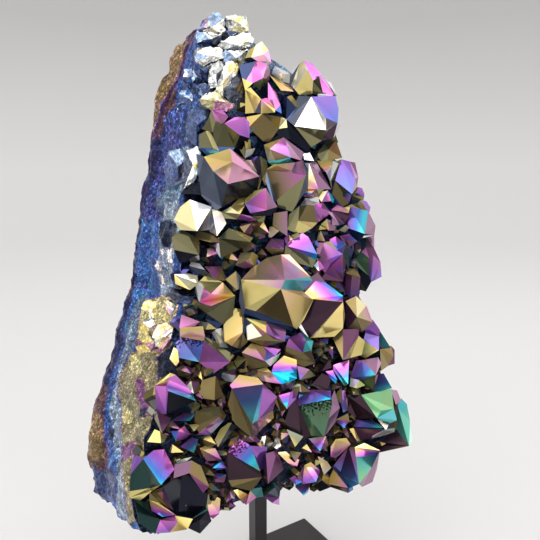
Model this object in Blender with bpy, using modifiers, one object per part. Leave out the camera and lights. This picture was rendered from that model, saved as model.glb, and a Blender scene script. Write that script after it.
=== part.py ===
"""Titanium-coated quartz cluster on a black steel stand. Metres, +Z up.

The cluster is a slab broken from the wall of a geode: an outer rind at the back (+Y),
banded quartz across its broken edges, and a crowd of six-sided quartz points on the front
(-Y). It stands on a square post that enters a hole drilled in its underside, and the post
stands on a square plate. The origin is the middle of the plate's underside.
"""
import math
import random

import bmesh
import bpy
import numpy as np
from mathutils import Matrix, Vector, noise

MM = 0.001
GAP = 0.3 * MM                      # between pieces that touch

# Stand
PLATE_SIDE = 140 * MM
PLATE_THICK = 6 * MM
PLATE_EDGE = 0.8 * MM
POST_SIDE = 8 * MM
POST_EDGE = 0.5 * MM
POST_AT = (-7 * MM, 12 * MM)        # middle of the post on the plate
POST_TOP = 124 * MM

# Slab: height, then front-left, back-left, front-right and back-right edges (x),
# then front and back faces (y), all in mm.
SLAB_SECTIONS = (
    (103, -78, -84, 44, 40, -10, 32),
    (109, -87, -91, 57, 52, -18, 37),
    (120, -91, -94, 64, 57, -20, 40),
    (134, -92, -95, 65, 57, -20, 40),
    (150, -85, -92, 58, 52, -20, 39),
    (166, -80, -87, 52, 47, -20, 38),
    (182, -71, -82, 43, 38, -20, 36),
    (198, -66, -77, 36, 32, -20, 34),
    (214, -61, -72, 41, 34, -20, 32),
    (230, -65, -70, 41, 33, -20, 30),
    (246, -63, -68, 34, 27, -20, 28),
    (262, -62, -66, 25, 19, -20, 26),
    (278, -56, -63, 17, 12, -20, 24),
    (294, -52, -60, 9, 5, -20, 22),
    (308, -52, -58, 7, 4, -19, 19),
    (316, -51, -56, 0, -2, -16, 17),
    (324, -49, -52, -14, -15, -12, 15),
    (332, -46, -48, -22, -23, -9, 12),
    (337, -42, -43, -29, -30, -6, 8),
)
RING_STEP = 11 * MM                 # height between the slab's rings
FRONT_POINTS = 3
EDGE_POINTS = 7
BACK_POINTS = 6
BACK_BULGE = 7 * MM
UNDERSIDE_TILT = 4 * MM             # the underside drops this much towards the back
ROUGH_COARSE = 2.2 * MM             # swell of the broken surface, 22 mm across
ROUGH_FINE = 0.9 * MM               # its chips, 8 mm across
ROUGH_LIFT = 1.5 * MM               # and how far a ring wanders up and down
FRONT_Y = -18 * MM                  # crystals are set out from this upright plane

# Broken edge where the slab is thickest, as (share of the way from front to back, how far
# it stands out in mm): crystal bed, matt band, grey vein, blue seam, outer rind.
EDGE_PROFILE = ((0.0, -1.0), (0.12, 1.0), (0.4, 1.5), (0.52, -0.6), (0.64, 0.2),
                (0.74, -1.8), (0.84, 1.2), (0.94, 1.8), (1.0, 0.0))
FULL_DEPTH = 60 * MM

# The front is laid out on a perspective sheet of 540 x 540 units, drawn from one eye point.
SHEET_EYE = Vector((-159 * MM, -241 * MM, 277 * MM))
SHEET_HEADING = math.radians(32.4)  # from +Y towards +X
SHEET_DIP = math.radians(11.0)
SHEET_MIDDLE = 270.0
SHEET_REACH = 553.0                 # eye to sheet, in sheet units

# Lumps of broken quartz: sheet x and y, size in sheet units, face they sit on (y, mm),
# and stretch across, deep and high.
LUMPS = (
    (213, 31, 21, -10, 1.0, 0.9, 0.9), (238, 27, 18, -12, 0.9, 0.9, 0.8),
    (235, 50, 24, -12, 1.0, 0.7, 0.9), (211, 58, 22, -12, 1.0, 0.8, 0.8),
    (224, 81, 20, -17, 0.8, 0.8, 1.3), (237, 88, 16, -22, 0.9, 0.8, 1.2),
    (214, 102, 23, -17, 1.2, 0.8, 0.7), (197, 82, 21, -8, 0.9, 1.0, 1.3),
    (189, 100, 17, -4, 1.0, 1.0, 0.9), (189, 168, 18, -14, 0.9, 0.9, 1.6),
    (186, 284, 15, -18, 1.1, 0.8, 0.7), (165, 318, 25, -10, 1.0, 1.1, 1.2),
    (156, 347, 20, -8, 1.0, 1.1, 1.3), (146, 402, 19, -8, 0.9, 1.3, 1.7),
)
LUMP_CUTS = 5                       # flat chips taken off each lump

# Quartz points, largest first in each part of the front: middle of the six-sided shoulder
# (sheet x, y), its radius in sheet units, the tip (sheet x, y), and the turn of one edge
# of the point, in degrees anticlockwise from the sheet's +x.
POINTS = (
    # upper right
    (316, 121, 25, 326, 122, 4), (305, 82, 17, 304, 64, 20), (315, 84, 16, 312, 67, 0),
    (325, 88, 12, 322, 77, 10), (290, 103, 12, 286, 97, 30), (332, 131, 11, 336, 126, 0),
    (329, 150, 14, 334, 139, 20), (283, 150, 19, 283, 137, 25), (268, 127, 20, 280, 124, 30),
    (257, 103, 16, 263, 98, 3), (271, 95, 13, 269, 82, 30), (283, 84, 10, 291, 88, 30),
    (281, 76, 10, 284, 71, 10), (258, 73, 13, 266, 76, 30), (262, 55, 11, 266, 61, 0),
    (315, 177, 14, 311, 165, 48), (327, 166, 9, 325, 171, 30), (344, 181, 18, 352, 189, 38),
    (362, 206, 9, 361, 203, 60), (359, 222, 16, 366, 230, 28), (341, 214, 11, 346, 212, 0),
    (326, 197, 10, 331, 200, 10), (310, 217, 20, 312, 205, 55), (349, 239, 10, 356, 242, 20),
    (367, 261, 18, 371, 258, 30),
    # upper left
    (228, 181, 29, 229, 177, 20), (287, 187, 24, 304, 176, 50), (231, 131, 17, 240, 133, 30),
    (213, 122, 13, 222, 124, 30), (208, 143, 12, 216, 147, 10), (245, 148, 12, 245, 139, 30),
    (251, 167, 9, 252, 160, 10), (262, 170, 11, 259, 159, 30), (260, 203, 18, 265, 188, 30),
    (238, 214, 16, 250, 217, 20), (193, 216, 18, 197, 229, 54), (217, 223, 11, 218, 233, 15),
    (190, 188, 10, 196, 192, 0), (186, 247, 16, 193, 256, 52), (236, 243, 17, 247, 242, 35),
    (183, 266, 9, 184, 262, 0), (203, 267, 10, 208, 272, 20), (213, 271, 10, 216, 278, 50),
    (247, 260, 13, 250, 258, 0), (277, 222, 13, 278, 231, 15), (277, 246, 11, 284, 251, 30),
    (302, 250, 17, 315, 257, 37),
    # middle
    (277, 291, 35, 284, 290, 46), (326, 309, 24, 343, 302, 52), (332, 261, 16, 343, 256, 32),
    (337, 243, 12, 345, 248, 30), (353, 286, 15, 355, 275, 0), (363, 303, 10, 366, 293, 20),
    (366, 316, 9, 365, 317, 0), (216, 298, 20, 231, 296, 30), (234, 284, 11, 233, 275, 30),
    (186, 284, 12, 193, 289, 0), (233, 330, 15, 232, 342, 60), (216, 338, 10, 221, 345, 50),
    (264, 331, 17, 265, 334, 15), (258, 356, 16, 266, 362, 41), (300, 348, 16, 308, 352, 41),
    (285, 371, 16, 285, 384, 60), (303, 373, 10, 303, 382, 60), (323, 363, 10, 322, 371, 60),
    (343, 372, 12, 347, 383, 64), (349, 342, 17, 345, 357, 54), (372, 341, 15, 379, 350, 45),
    (384, 342, 12, 390, 350, 20), (384, 360, 11, 389, 363, 0), (364, 371, 15, 373, 375, 0),
    (383, 382, 12, 391, 387, 30), (322, 382, 12, 326, 391, 60), (312, 376, 9, 313, 380, 0),
    # lower right
    (312, 416, 25, 319, 436, 65), (315, 394, 15, 316, 405, 60), (376, 406, 23, 380, 421, 64),
    (400, 425, 16, 408, 439, 17), (396, 398, 9, 398, 400, 0), (368, 433, 13, 362, 441, 60),
    (366, 421, 9, 375, 424, 0), (341, 399, 11, 343, 410, 15), (343, 419, 9, 345, 427, 60),
    (336, 430, 9, 333, 434, 0), (288, 398, 11, 286, 408, 15), (278, 403, 9, 281, 411, 20),
    (357, 468, 23, 359, 484, 48), (340, 447, 12, 338, 457, 60), (318, 443, 11, 319, 451, 60),
    (338, 479, 12, 347, 485, 30), (342, 486, 10, 347, 493, 60), (325, 465, 9, 323, 473, 15),
    (311, 473, 12, 309, 483, 60), (304, 487, 9, 305, 495, 60), (293, 437, 10, 294, 446, 60),
    (289, 457, 10, 293, 465, 60),
    # lower left
    (252, 403, 27, 252, 423, 67), (247, 462, 22, 259, 470, 33), (201, 350, 25, 206, 341, 13),
    (174, 397, 20, 168, 391, 39), (212, 388, 13, 220, 392, 30), (174, 356, 9, 176, 349, 0),
    (158, 375, 9, 160, 380, 20), (195, 372, 10, 198, 375, 0), (157, 437, 12, 163, 437, 0),
    (163, 421, 11, 162, 431, 60), (180, 432, 11, 176, 441, 45), (183, 416, 11, 189, 421, 30),
    (210, 424, 16, 217, 432, 30), (221, 436, 10, 219, 446, 10), (189, 446, 11, 194, 452, 30),
    (184, 459, 10, 176, 464, 25), (194, 476, 16, 201, 490, 15), (150, 474, 22, 159, 483, 2),
    (183, 499, 24, 164, 486, 53), (160, 509, 12, 167, 516, 30), (143, 508, 13, 147, 514, 0),
    (173, 517, 15, 178, 527, 60), (200, 514, 14, 204, 523, 20), (213, 506, 11, 214, 517, 60),
    (209, 453, 12, 207, 461, 60), (221, 466, 10, 217, 471, 45), (218, 477, 11, 212, 479, 0),
    (273, 468, 16, 268, 482, 20), (246, 496, 12, 247, 505, 40), (268, 495, 13, 275, 503, 30),
    (229, 491, 13, 226, 499, 0),
)
SHOULDER_RISE = 5.5 * MM            # shoulders stand this far in front of the slab
POINT_SLOPE = 1.10                  # height of a quartz point over its radius
ROOT_DEPTH = 7 * MM                 # roots run this far into the slab
ROOT_MOST = 13 * MM                 # and are never longer than this
FULLNESS = 1.12                     # crystals crowd this much past their drawn shoulder
FACE_SPREAD = 0.30                  # three alternate faces sit up to this much higher

# Crystals round the edge that turns away.
FAR_EDGE_COUNT = 18
FAR_EDGE_RADIUS = (3.5 * MM, 8.0 * MM)


def clear_scene():
    """Remove every object that is already in the scene."""
    for obj in list(bpy.data.objects):
        bpy.data.objects.remove(obj, do_unlink=True)


def new_collection(name):
    """A collection linked to the scene."""
    collection = bpy.data.collections.new(name)
    bpy.context.scene.collection.children.link(collection)
    return collection


def new_material(name, colour, roughness, metallic):
    """A plain Principled material."""
    material = bpy.data.materials.new(name)
    material.use_nodes = True
    shader = material.node_tree.nodes["Principled BSDF"]
    shader.inputs["Base Color"].default_value = (*colour, 1.0)
    shader.inputs["Roughness"].default_value = roughness
    shader.inputs["Metallic"].default_value = metallic
    return material


def new_object(name, bm, collection, material=None):
    """Turn a bmesh into an object and free the bmesh."""
    mesh = bpy.data.meshes.new(name)
    bm.to_mesh(mesh)
    bm.free()
    obj = bpy.data.objects.new(name, mesh)
    if material:
        mesh.materials.append(material)
    collection.objects.link(obj)
    return obj


def guide(name, bm, cutters):
    """A shape that only cuts or joins others, marked so that it isn't taken for a piece."""
    obj = new_object(name, bm, cutters)
    obj.hide_render = True
    obj.display_type = "WIRE"
    return obj


def add_boolean(obj, other, operation):
    """Join another object to this one, or cut it away."""
    boolean = obj.modifiers.new(operation.title(), "BOOLEAN")
    boolean.operation = operation
    boolean.object = other
    boolean.solver = "EXACT"
    boolean.use_self = operation == "UNION"


def sheet_axes():
    """Right, up and forward directions of the layout sheet."""
    level = Vector((math.sin(SHEET_HEADING), math.cos(SHEET_HEADING), 0.0))
    right = Vector((math.cos(SHEET_HEADING), -math.sin(SHEET_HEADING), 0.0))
    forward = level * math.cos(SHEET_DIP) - Vector((0, 0, math.sin(SHEET_DIP)))
    return right, right.cross(forward), forward


RIGHT, UP, FORWARD = sheet_axes()


def sheet_ray(x, y):
    """Direction from the eye through a point of the sheet."""
    across = (x - SHEET_MIDDLE) / SHEET_REACH
    high = (SHEET_MIDDLE - y) / SHEET_REACH
    return FORWARD + RIGHT * across + UP * high


def on_plane(x, y, plane_y):
    """The point under sheet x, y on the upright plane at plane_y."""
    ray = sheet_ray(x, y)
    return SHEET_EYE + ray * ((plane_y - SHEET_EYE.y) / ray.y)


def tip_on_ray(middle, x, y, reach):
    """The point on a sheet ray that lies at `reach` from middle, nearest to the eye."""
    ray = sheet_ray(x, y).normalized()
    along = ray.dot(middle - SHEET_EYE)
    miss = (SHEET_EYE + ray * along - middle).length
    back = math.sqrt(max(reach * reach - miss * miss, 0.0))
    return SHEET_EYE + ray * (along - back)


def slab_section(height):
    """The six edge positions of the slab at a height, in metres."""
    table = np.array(SLAB_SECTIONS) * MM
    return [float(np.interp(height, table[:, 0], table[:, k])) for k in range(1, 7)]


def edge_relief(share, depth):
    """How far the broken edge stands out, at a share of the way to the back."""
    profile = np.array(EDGE_PROFILE)
    full = float(np.interp(share, profile[:, 0], profile[:, 1])) * MM
    return full * depth / FULL_DEPTH


def slab_ring(height):
    """One closed ring of the slab, anticlockwise from above, starting at front left."""
    front_left, back_left, front_right, back_right, front, back = slab_section(height)
    depth = back - front
    ring = []
    for k in range(FRONT_POINTS):
        t = k / FRONT_POINTS
        ring.append(((front_left + (front_right - front_left) * t, front), (0, -1)))
    for k in range(EDGE_POINTS):
        t = k / EDGE_POINTS
        x = front_right + (back_right - front_right) * t + edge_relief(t, depth)
        ring.append(((x, front + depth * t), (1, 0)))
    for k in range(BACK_POINTS):
        t = k / BACK_POINTS
        bulge = BACK_BULGE * (1 - (2 * t - 1) ** 2)
        ring.append(((back_right + (back_left - back_right) * t, back + bulge), (0, 1)))
    for k in range(EDGE_POINTS):
        t = 1 - k / EDGE_POINTS
        x = front_left + (back_left - front_left) * t - edge_relief(t, depth)
        ring.append(((x, front + depth * t), (-1, 0)))
    return ring


def roughened(place, outward):
    """Move a surface point along its outward direction by two sizes of noise."""
    swell = noise.noise(place / (22 * MM)) * ROUGH_COARSE
    chips = noise.noise(place / (8 * MM) + Vector((7, 3, 1))) * ROUGH_FINE
    lift = noise.noise(place / (14 * MM) + Vector((2, 9, 5))) * ROUGH_LIFT
    return place + outward * (swell + chips) + Vector((0, 0, lift))


def slab_bmesh():
    """The slab as a loft between its sections, closed at both ends."""
    bottom = SLAB_SECTIONS[0][0] * MM
    top = SLAB_SECTIONS[-1][0] * MM
    steps = round((top - bottom) / RING_STEP)
    bm = bmesh.new()
    rings = []
    for k in range(steps + 1):
        height = bottom + (top - bottom) * k / steps
        between = 0 < k < steps
        back = slab_section(height)[5]
        ring = []
        for (x, y), outward in slab_ring(height):
            drop = UNDERSIDE_TILT * (1 - k / steps) * (y - FRONT_Y) / (back - FRONT_Y)
            point = Vector((x, y, height - drop))
            if between:
                point = roughened(point, Vector((*outward, 0)))
            ring.append(bm.verts.new(point))
        rings.append(ring)
    for lower, upper in zip(rings, rings[1:]):
        for k in range(len(lower)):
            n = (k + 1) % len(lower)
            bm.faces.new((lower[k], lower[n], upper[n], upper[k]))
    bm.faces.new(list(reversed(rings[0])))
    bm.faces.new(rings[-1])
    bmesh.ops.triangulate(bm, faces=bm.faces[:])
    return bm


def lump_into(target, row, draw):
    """One angular lump of broken quartz: a coarse ball with flat chips taken off it."""
    x, y, size, plane, wide, deep, high = row
    middle = on_plane(x, y, plane * MM)
    radius = size * (middle - SHEET_EYE).dot(FORWARD) / SHEET_REACH
    middle.y += 0.25 * radius
    lump = bmesh.new()
    bmesh.ops.create_icosphere(lump, subdivisions=1, radius=radius)
    bmesh.ops.rotate(lump, verts=lump.verts[:], cent=(0, 0, 0),
                     matrix=Matrix.Rotation(draw.uniform(0, 6.28), 3, "X"))
    for _ in range(LUMP_CUTS):
        facing = Vector((draw.gauss(-0.4, 1), draw.gauss(-0.8, 1), draw.gauss(0, 1)))
        chip_off(lump, facing.normalized(), radius * draw.uniform(0.62, 0.85))
    bmesh.ops.scale(lump, verts=lump.verts[:], vec=(wide, deep, high))
    bmesh.ops.translate(lump, verts=lump.verts[:], vec=middle)
    append_bmesh(target, lump)


def chip_off(bm, facing, distance):
    """Cut a convex shape by a plane at a distance from its middle.

    The cut is closed by taking the hull of the corners that are left.
    """
    geometry = bm.verts[:] + bm.edges[:] + bm.faces[:]
    bmesh.ops.bisect_plane(bm, geom=geometry, plane_co=facing * distance,
                           plane_no=facing, clear_outer=True)
    bmesh.ops.remove_doubles(bm, verts=bm.verts[:], dist=0.02 * MM)
    bmesh.ops.delete(bm, geom=bm.edges[:] + bm.faces[:], context="EDGES_FACES")
    bmesh.ops.convex_hull(bm, input=bm.verts[:])
    bmesh.ops.dissolve_limit(bm, angle_limit=math.radians(0.5), verts=bm.verts[:],
                             edges=bm.edges[:])
    bmesh.ops.recalc_face_normals(bm, faces=bm.faces[:])


def append_bmesh(target, source):
    """Copy one bmesh into another and free it."""
    mesh = bpy.data.meshes.new("copy")
    source.to_mesh(mesh)
    source.free()
    target.from_mesh(mesh)
    bpy.data.meshes.remove(mesh)


def quartz_point(target, shoulder, axis, corner, radius, root, draw):
    """One six-sided crystal: a prism cut by six sloping planes that meet at its tip.

    shoulder is where the prism ends, axis the way it points, corner the direction of one
    prism edge, root the length of prism behind the shoulder. Three alternate faces are
    set higher by a random share, as the two unlike sets of faces are on real quartz.
    """
    height = POINT_SLOPE * radius
    bm = bmesh.new()
    bmesh.ops.create_cone(bm, cap_ends=True, segments=6, radius1=radius, radius2=radius,
                          depth=root + 1.2 * height)
    bmesh.ops.translate(bm, verts=bm.verts[:], vec=(0, 0, (1.2 * height - root) / 2))
    first = next(iter(bm.verts)).co
    start = math.atan2(first.y, first.x)
    flat = radius * math.cos(math.pi / 6)
    spread = draw.uniform(0, FACE_SPREAD)
    for k in range(6):
        turn = start + math.radians(30 + 60 * k)
        slope = Vector((height * math.cos(turn), height * math.sin(turn), flat)).normalized()
        lift = 1 + spread if k % 2 else 1
        chip_off(bm, slope, slope.z * height * lift)
    across = (corner - axis * corner.dot(axis)).normalized()
    side = axis.cross(across)
    frame = Matrix((across, side, axis)).transposed().to_4x4()
    place = Matrix.Translation(shoulder) @ frame @ Matrix.Rotation(-start, 4, "Z")
    bmesh.ops.transform(bm, matrix=place, verts=bm.verts[:])
    append_bmesh(target, bm)


def laid_out_point(target, row, draw):
    """A crystal from the layout sheet."""
    x, y, size, tip_x, tip_y, turn = row
    shoulder = on_plane(x, y, FRONT_Y - SHOULDER_RISE)
    radius = size * FULLNESS * (shoulder - SHEET_EYE).dot(FORWARD) / SHEET_REACH
    tip = tip_on_ray(shoulder, tip_x, tip_y, POINT_SLOPE * radius)
    axis = (tip - shoulder).normalized()
    root = min((SHOULDER_RISE + ROOT_DEPTH) / max(-axis.y, 0.3), ROOT_MOST)
    angle = math.radians(turn)
    corner = RIGHT * math.cos(angle) + UP * math.sin(angle)
    quartz_point(target, shoulder, axis, corner, radius, root, draw)


def far_edge_points(target, draw):
    """Crystals that wrap round the right-hand edge of the slab."""
    for k in range(FAR_EDGE_COUNT):
        height = (104 + 204 * (k + draw.random()) / FAR_EDGE_COUNT) * MM
        _, _, front_right, back_right, front, back = slab_section(height)
        share = draw.uniform(0.02, 0.30)
        x = front_right + (back_right - front_right) * share + 3 * MM
        radius = draw.uniform(*FAR_EDGE_RADIUS)
        shoulder = Vector((x, front + (back - front) * share, height))
        axis = Vector((1, draw.uniform(-0.9, 0.1), draw.gauss(0, 0.35))).normalized()
        corner = Vector((0, draw.uniform(-1, 1), draw.uniform(-1, 1)))
        quartz_point(target, shoulder, axis, corner, radius, 12 * MM, draw)


def make_cluster(pieces, cutters):
    """Slab, lumps and crystals joined in one solid, drilled for the post."""
    material = new_material("coated_quartz", (0.32, 0.20, 0.34), 0.18, 0.9)
    cluster = new_object("amethyst_cluster", slab_bmesh(), pieces, material)
    drill = bmesh.new()
    bmesh.ops.create_cube(drill, size=1)
    width = POST_SIDE + 2 * GAP
    depth = 60 * MM
    bmesh.ops.scale(drill, verts=drill.verts[:], vec=(width, width, depth))
    middle = (*POST_AT, POST_TOP + GAP - depth / 2)
    bmesh.ops.translate(drill, verts=drill.verts[:], vec=middle)
    add_boolean(cluster, guide("post_hole", drill, cutters), "DIFFERENCE")
    growth = bmesh.new()
    draw = random.Random(7)
    for row in LUMPS:
        lump_into(growth, row, draw)
    for row in POINTS:
        laid_out_point(growth, row, draw)
    far_edge_points(growth, draw)
    add_boolean(cluster, guide("crystal_growth", growth, cutters), "UNION")


def bevelled_box(name, size, middle, edge, pieces, material):
    """A square-cut steel piece with its edges just broken."""
    bm = bmesh.new()
    bmesh.ops.create_cube(bm, size=1)
    bmesh.ops.scale(bm, verts=bm.verts[:], vec=size)
    obj = new_object(name, bm, pieces, material)
    obj.location = middle
    bevel = obj.modifiers.new("Edges", "BEVEL")
    bevel.width = edge
    bevel.segments = 2
    return obj


def make_stand(pieces):
    """The square plate and the square bar that stands on it."""
    material = new_material("black_steel", (0.035, 0.034, 0.036), 0.45, 0.2)
    bevelled_box("stand_base", (PLATE_SIDE, PLATE_SIDE, PLATE_THICK),
                 (0, 0, PLATE_THICK / 2), PLATE_EDGE, pieces, material)
    foot = PLATE_THICK + GAP
    bevelled_box("stand_post", (POST_SIDE, POST_SIDE, POST_TOP - foot),
                 (*POST_AT, (POST_TOP + foot) / 2), POST_EDGE, pieces, material)


clear_scene()
PIECES = new_collection("aura_amethyst_cluster")
CUTTERS = new_collection("cutters")
make_cluster(PIECES, CUTTERS)
make_stand(PIECES)
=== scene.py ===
import itertools
import math

import bpy
import numpy as np
from mathutils import Matrix, Vector


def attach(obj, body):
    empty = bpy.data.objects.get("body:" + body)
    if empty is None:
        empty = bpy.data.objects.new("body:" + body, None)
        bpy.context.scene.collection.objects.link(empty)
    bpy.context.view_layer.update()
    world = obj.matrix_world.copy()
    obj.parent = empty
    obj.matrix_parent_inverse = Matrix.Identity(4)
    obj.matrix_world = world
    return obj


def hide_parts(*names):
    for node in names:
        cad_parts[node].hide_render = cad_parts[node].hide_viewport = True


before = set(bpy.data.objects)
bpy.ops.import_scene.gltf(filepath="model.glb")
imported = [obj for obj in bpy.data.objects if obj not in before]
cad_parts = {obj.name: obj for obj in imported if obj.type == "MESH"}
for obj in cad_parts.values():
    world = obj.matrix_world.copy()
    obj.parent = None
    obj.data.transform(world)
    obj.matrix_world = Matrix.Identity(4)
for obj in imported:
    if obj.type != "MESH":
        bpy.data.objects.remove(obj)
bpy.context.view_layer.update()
MM = 0.001


# ---------------------------------------------------------------------------------------
# Stand: a square plate and a square bar of mild steel, tack-welded and powder coated a
# satin black. The bar goes 24 mm into a hole drilled in the stone, where it is glued.
# ---------------------------------------------------------------------------------------
COAT_BLACK = (0.012, 0.010, 0.012, 1)
COAT_WORN = (0.034, 0.029, 0.032, 1)


def add_node(tree, kind, given=(), **settings):
    """Add a shader node of a kind, with its settings and the values given to its inputs."""
    node = tree.nodes.new("ShaderNode" + kind)
    for name, value in settings.items():
        setattr(node, name, value)
    for socket, value in dict(given).items():
        node.inputs[socket].default_value = value
    return node


def wire(tree, *wires):
    """Join sockets. Each wire is a node, its output, the next node and its input."""
    for source, output, target, entry in wires:
        tree.links.new(source.outputs[output], target.inputs[entry])


def new_material(name, given):
    """A material, its node tree, and its shader with values given to the inputs."""
    material = bpy.data.materials.new(name)
    material.use_nodes = True
    shader = material.node_tree.nodes["Principled BSDF"]
    for socket, value in given.items():
        shader.inputs[socket].default_value = value
    return material, material.node_tree, shader


def black_powder_coat():
    """Satin black paint with the fine orange peel of a baked powder and faint dust."""
    material, tree, shader = new_material(
        "black_powder_coat", {"Metallic": 0.0, "Specular IOR Level": 0.20})
    place = add_node(tree, "TexCoord")
    dust = add_node(tree, "TexNoise", {"Scale": 60, "Detail": 6})
    peel = add_node(tree, "TexNoise", {"Scale": 1800, "Detail": 2})
    paint = add_node(tree, "Mix", {"A": COAT_BLACK, "B": COAT_WORN}, data_type="RGBA")
    gloss = add_node(tree, "MapRange", {"To Min": 0.34, "To Max": 0.52})
    bump = add_node(tree, "Bump", {"Strength": 0.25, "Distance": 0.05 * MM})
    wire(tree, (place, "Object", dust, "Vector"), (place, "Object", peel, "Vector"),
         (dust, "Fac", paint, "Factor"), (dust, "Fac", gloss, "Value"),
         (peel, "Fac", bump, "Height"), (paint, "Result", shader, "Base Color"),
         (gloss, "Result", shader, "Roughness"), (bump, "Normal", shader, "Normal"))
    return material


powder = black_powder_coat()
for name in ("stand_base", "stand_post"):
    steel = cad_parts[name]
    for socket in steel.material_slots:
        socket.material = powder


# ---------------------------------------------------------------------------------------
# Layout sheet: the front of the cluster is set out on a perspective sheet of 540 x 540
# units drawn from one eye point, so that each crystal's shoulder and tip can be placed.
# ---------------------------------------------------------------------------------------
SHEET_EYE = np.array((-159, -241, 277)) * MM
SHEET_HEADING = math.radians(32.4)
SHEET_DIP = math.radians(11.0)
SHEET_SIDE = 540
SHEET_MIDDLE = SHEET_SIDE / 2
SHEET_REACH = 553.0                 # from the eye to the sheet, in sheet units
FRONT_WAY = np.array((0, -1, 0))
LEFT_WAY = np.array((-1, 0, 0))
RIGHT = np.array((math.cos(SHEET_HEADING), -math.sin(SHEET_HEADING), 0))
FORWARD = np.array((math.sin(SHEET_HEADING) * math.cos(SHEET_DIP),
                    math.cos(SHEET_HEADING) * math.cos(SHEET_DIP), -math.sin(SHEET_DIP)))
UP = np.cross(RIGHT, FORWARD)


def sheet_ray(x, y):
    """Direction from the eye through a point of the sheet."""
    return (FORWARD + RIGHT * (x - SHEET_MIDDLE) / SHEET_REACH
            + UP * (SHEET_MIDDLE - y) / SHEET_REACH)


def sheet_places(points):
    """Where points of the cluster fall on the sheet."""
    away = points - SHEET_EYE
    depth = away @ FORWARD
    return (SHEET_MIDDLE + SHEET_REACH * (away @ RIGHT) / depth,
            SHEET_MIDDLE - SHEET_REACH * (away @ UP) / depth)


def inside_outline(x, y, corners):
    """True where a sheet point has an odd number of the outline's sides to its right."""
    inside = np.zeros(len(x), bool)
    for (from_x, from_y), (to_x, to_y) in zip(corners, corners[1:] + corners[:1]):
        level = (y - from_y) / (to_y - from_y + 1e-9)
        inside ^= ((from_y > y) != (to_y > y)) & (x < from_x + level * (to_x - from_x))
    return inside


def sheet_corners(words):
    """Sheet coordinates from words such as "x,y". A last - is left out."""
    return [tuple(map(float, word.rstrip("-").split(","))) for word in words]


def on_plane(x, y, reach, facing):
    """The point under sheet x, y that lies at `reach` along the direction `facing`."""
    ray = sheet_ray(x, y)
    return SHEET_EYE + ray * ((reach - SHEET_EYE @ facing) / (ray @ facing))


# ---------------------------------------------------------------------------------------
# Rock: a slab of geode wall, broken all round. From front to back its edge shows the bed
# that the crystals grew on, a grey vein, a blue seam and the rind. All of it carries the
# same baked-on metal film, which shows blue, purple and gold.
# ---------------------------------------------------------------------------------------
# Height, front-left, back-left, front-right and back-right edges (x), front and back (y).
SLAB_SECTIONS = np.array((
    (103, -78, -91, 44, 40, -10, 32),
    (109, -87, -94, 57, 52, -18, 37),
    (120, -91, -94, 64, 57, -20, 40),
    (134, -92, -95, 65, 57, -20, 40),
    (150, -85, -92, 58, 52, -20, 39),
    (166, -80, -87, 52, 47, -20, 38),
    (182, -71, -82, 43, 38, -20, 36),
    (198, -66, -77, 36, 32, -20, 34),
    (214, -61, -72, 41, 34, -20, 32),
    (230, -65, -70, 41, 33, -20, 30),
    (246, -63, -68, 34, 27, -20, 28),
    (262, -62, -66, 25, 19, -20, 26),
    (278, -56, -63, 17, 12, -20, 24),
    (294, -52, -60, 9, 5, -20, 22),
    (308, -52, -58, 7, 4, -19, 19),
    (316, -51, -56, 0, -2, -16, 17),
    (324, -49, -52, -14, -15, -12, 15),
    (332, -46, -48, -22, -23, -9, 12),
    (337, -42, -43, -29, -30, -6, 8),
)) * MM
EDGE_PROFILE = np.array(((0.0, -1.0), (0.12, 1.0), (0.25, 0.2), (0.4, 1.5), (0.52, -0.8),
                         (0.58, -0.2), (0.64, 0.4), (0.74, -1.9), (0.80, 0.3),
                         (0.84, 1.4), (0.94, 1.8), (1.0, 0.0)))
FULL_DEPTH = 60 * MM
BACK_BULGE = 7 * MM
UNDERSIDE_TILT = 4 * MM
FRONT_COLUMNS, EDGE_COLUMNS, BACK_COLUMNS = 30, 110, 90
WALL_ROWS, END_ROWS = 264, 10
# Size of each roughness and how far it moves the surface, largest first, then of cracks.
ROUGHNESS = ((22 * MM, 1.9 * MM), (8 * MM, 1.2 * MM), (3.4 * MM, 0.75 * MM),
             (1.6 * MM, 0.40 * MM))
CRACK_SIZE, CRACK_DEPTH, CRACK_SEED = 5 * MM, 1.5 * MM, 21
LATTICE_PRIMES = (73856093, 19349663, 83492791)
SEED_PRIME, MIXING_PRIME = 7919, 1274126177


def lattice_noise(points, size, seed):
    """Smooth noise from -1 to 1.

    Every corner of a cubic lattice of the given size has a random value, and a point
    blends its eight corners by the smoothstep of its place between them.
    """
    cell = np.floor(points / size)
    part = points / size - cell
    part = part * part * (3 - 2 * part)
    cell = cell.astype(np.int64)
    total = np.zeros(len(points))
    for corner in itertools.product((0, 1), repeat=3):
        mixed = (cell + corner) @ np.array(LATTICE_PRIMES) + seed * SEED_PRIME
        mixed = (mixed ^ (mixed >> 13)) * MIXING_PRIME & 0xFFFFFFFF
        mixed = (mixed ^ (mixed >> 16)) & 0xFFFF
        weight = np.prod(np.where(corner, part, 1 - part), axis=1)
        total += weight * (mixed / 32767.5 - 1)
    return total


def lerp_section(height, column):
    """A measure of the slab's section at each height."""
    return np.interp(height, SLAB_SECTIONS[:, 0], SLAB_SECTIONS[:, column])


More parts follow.
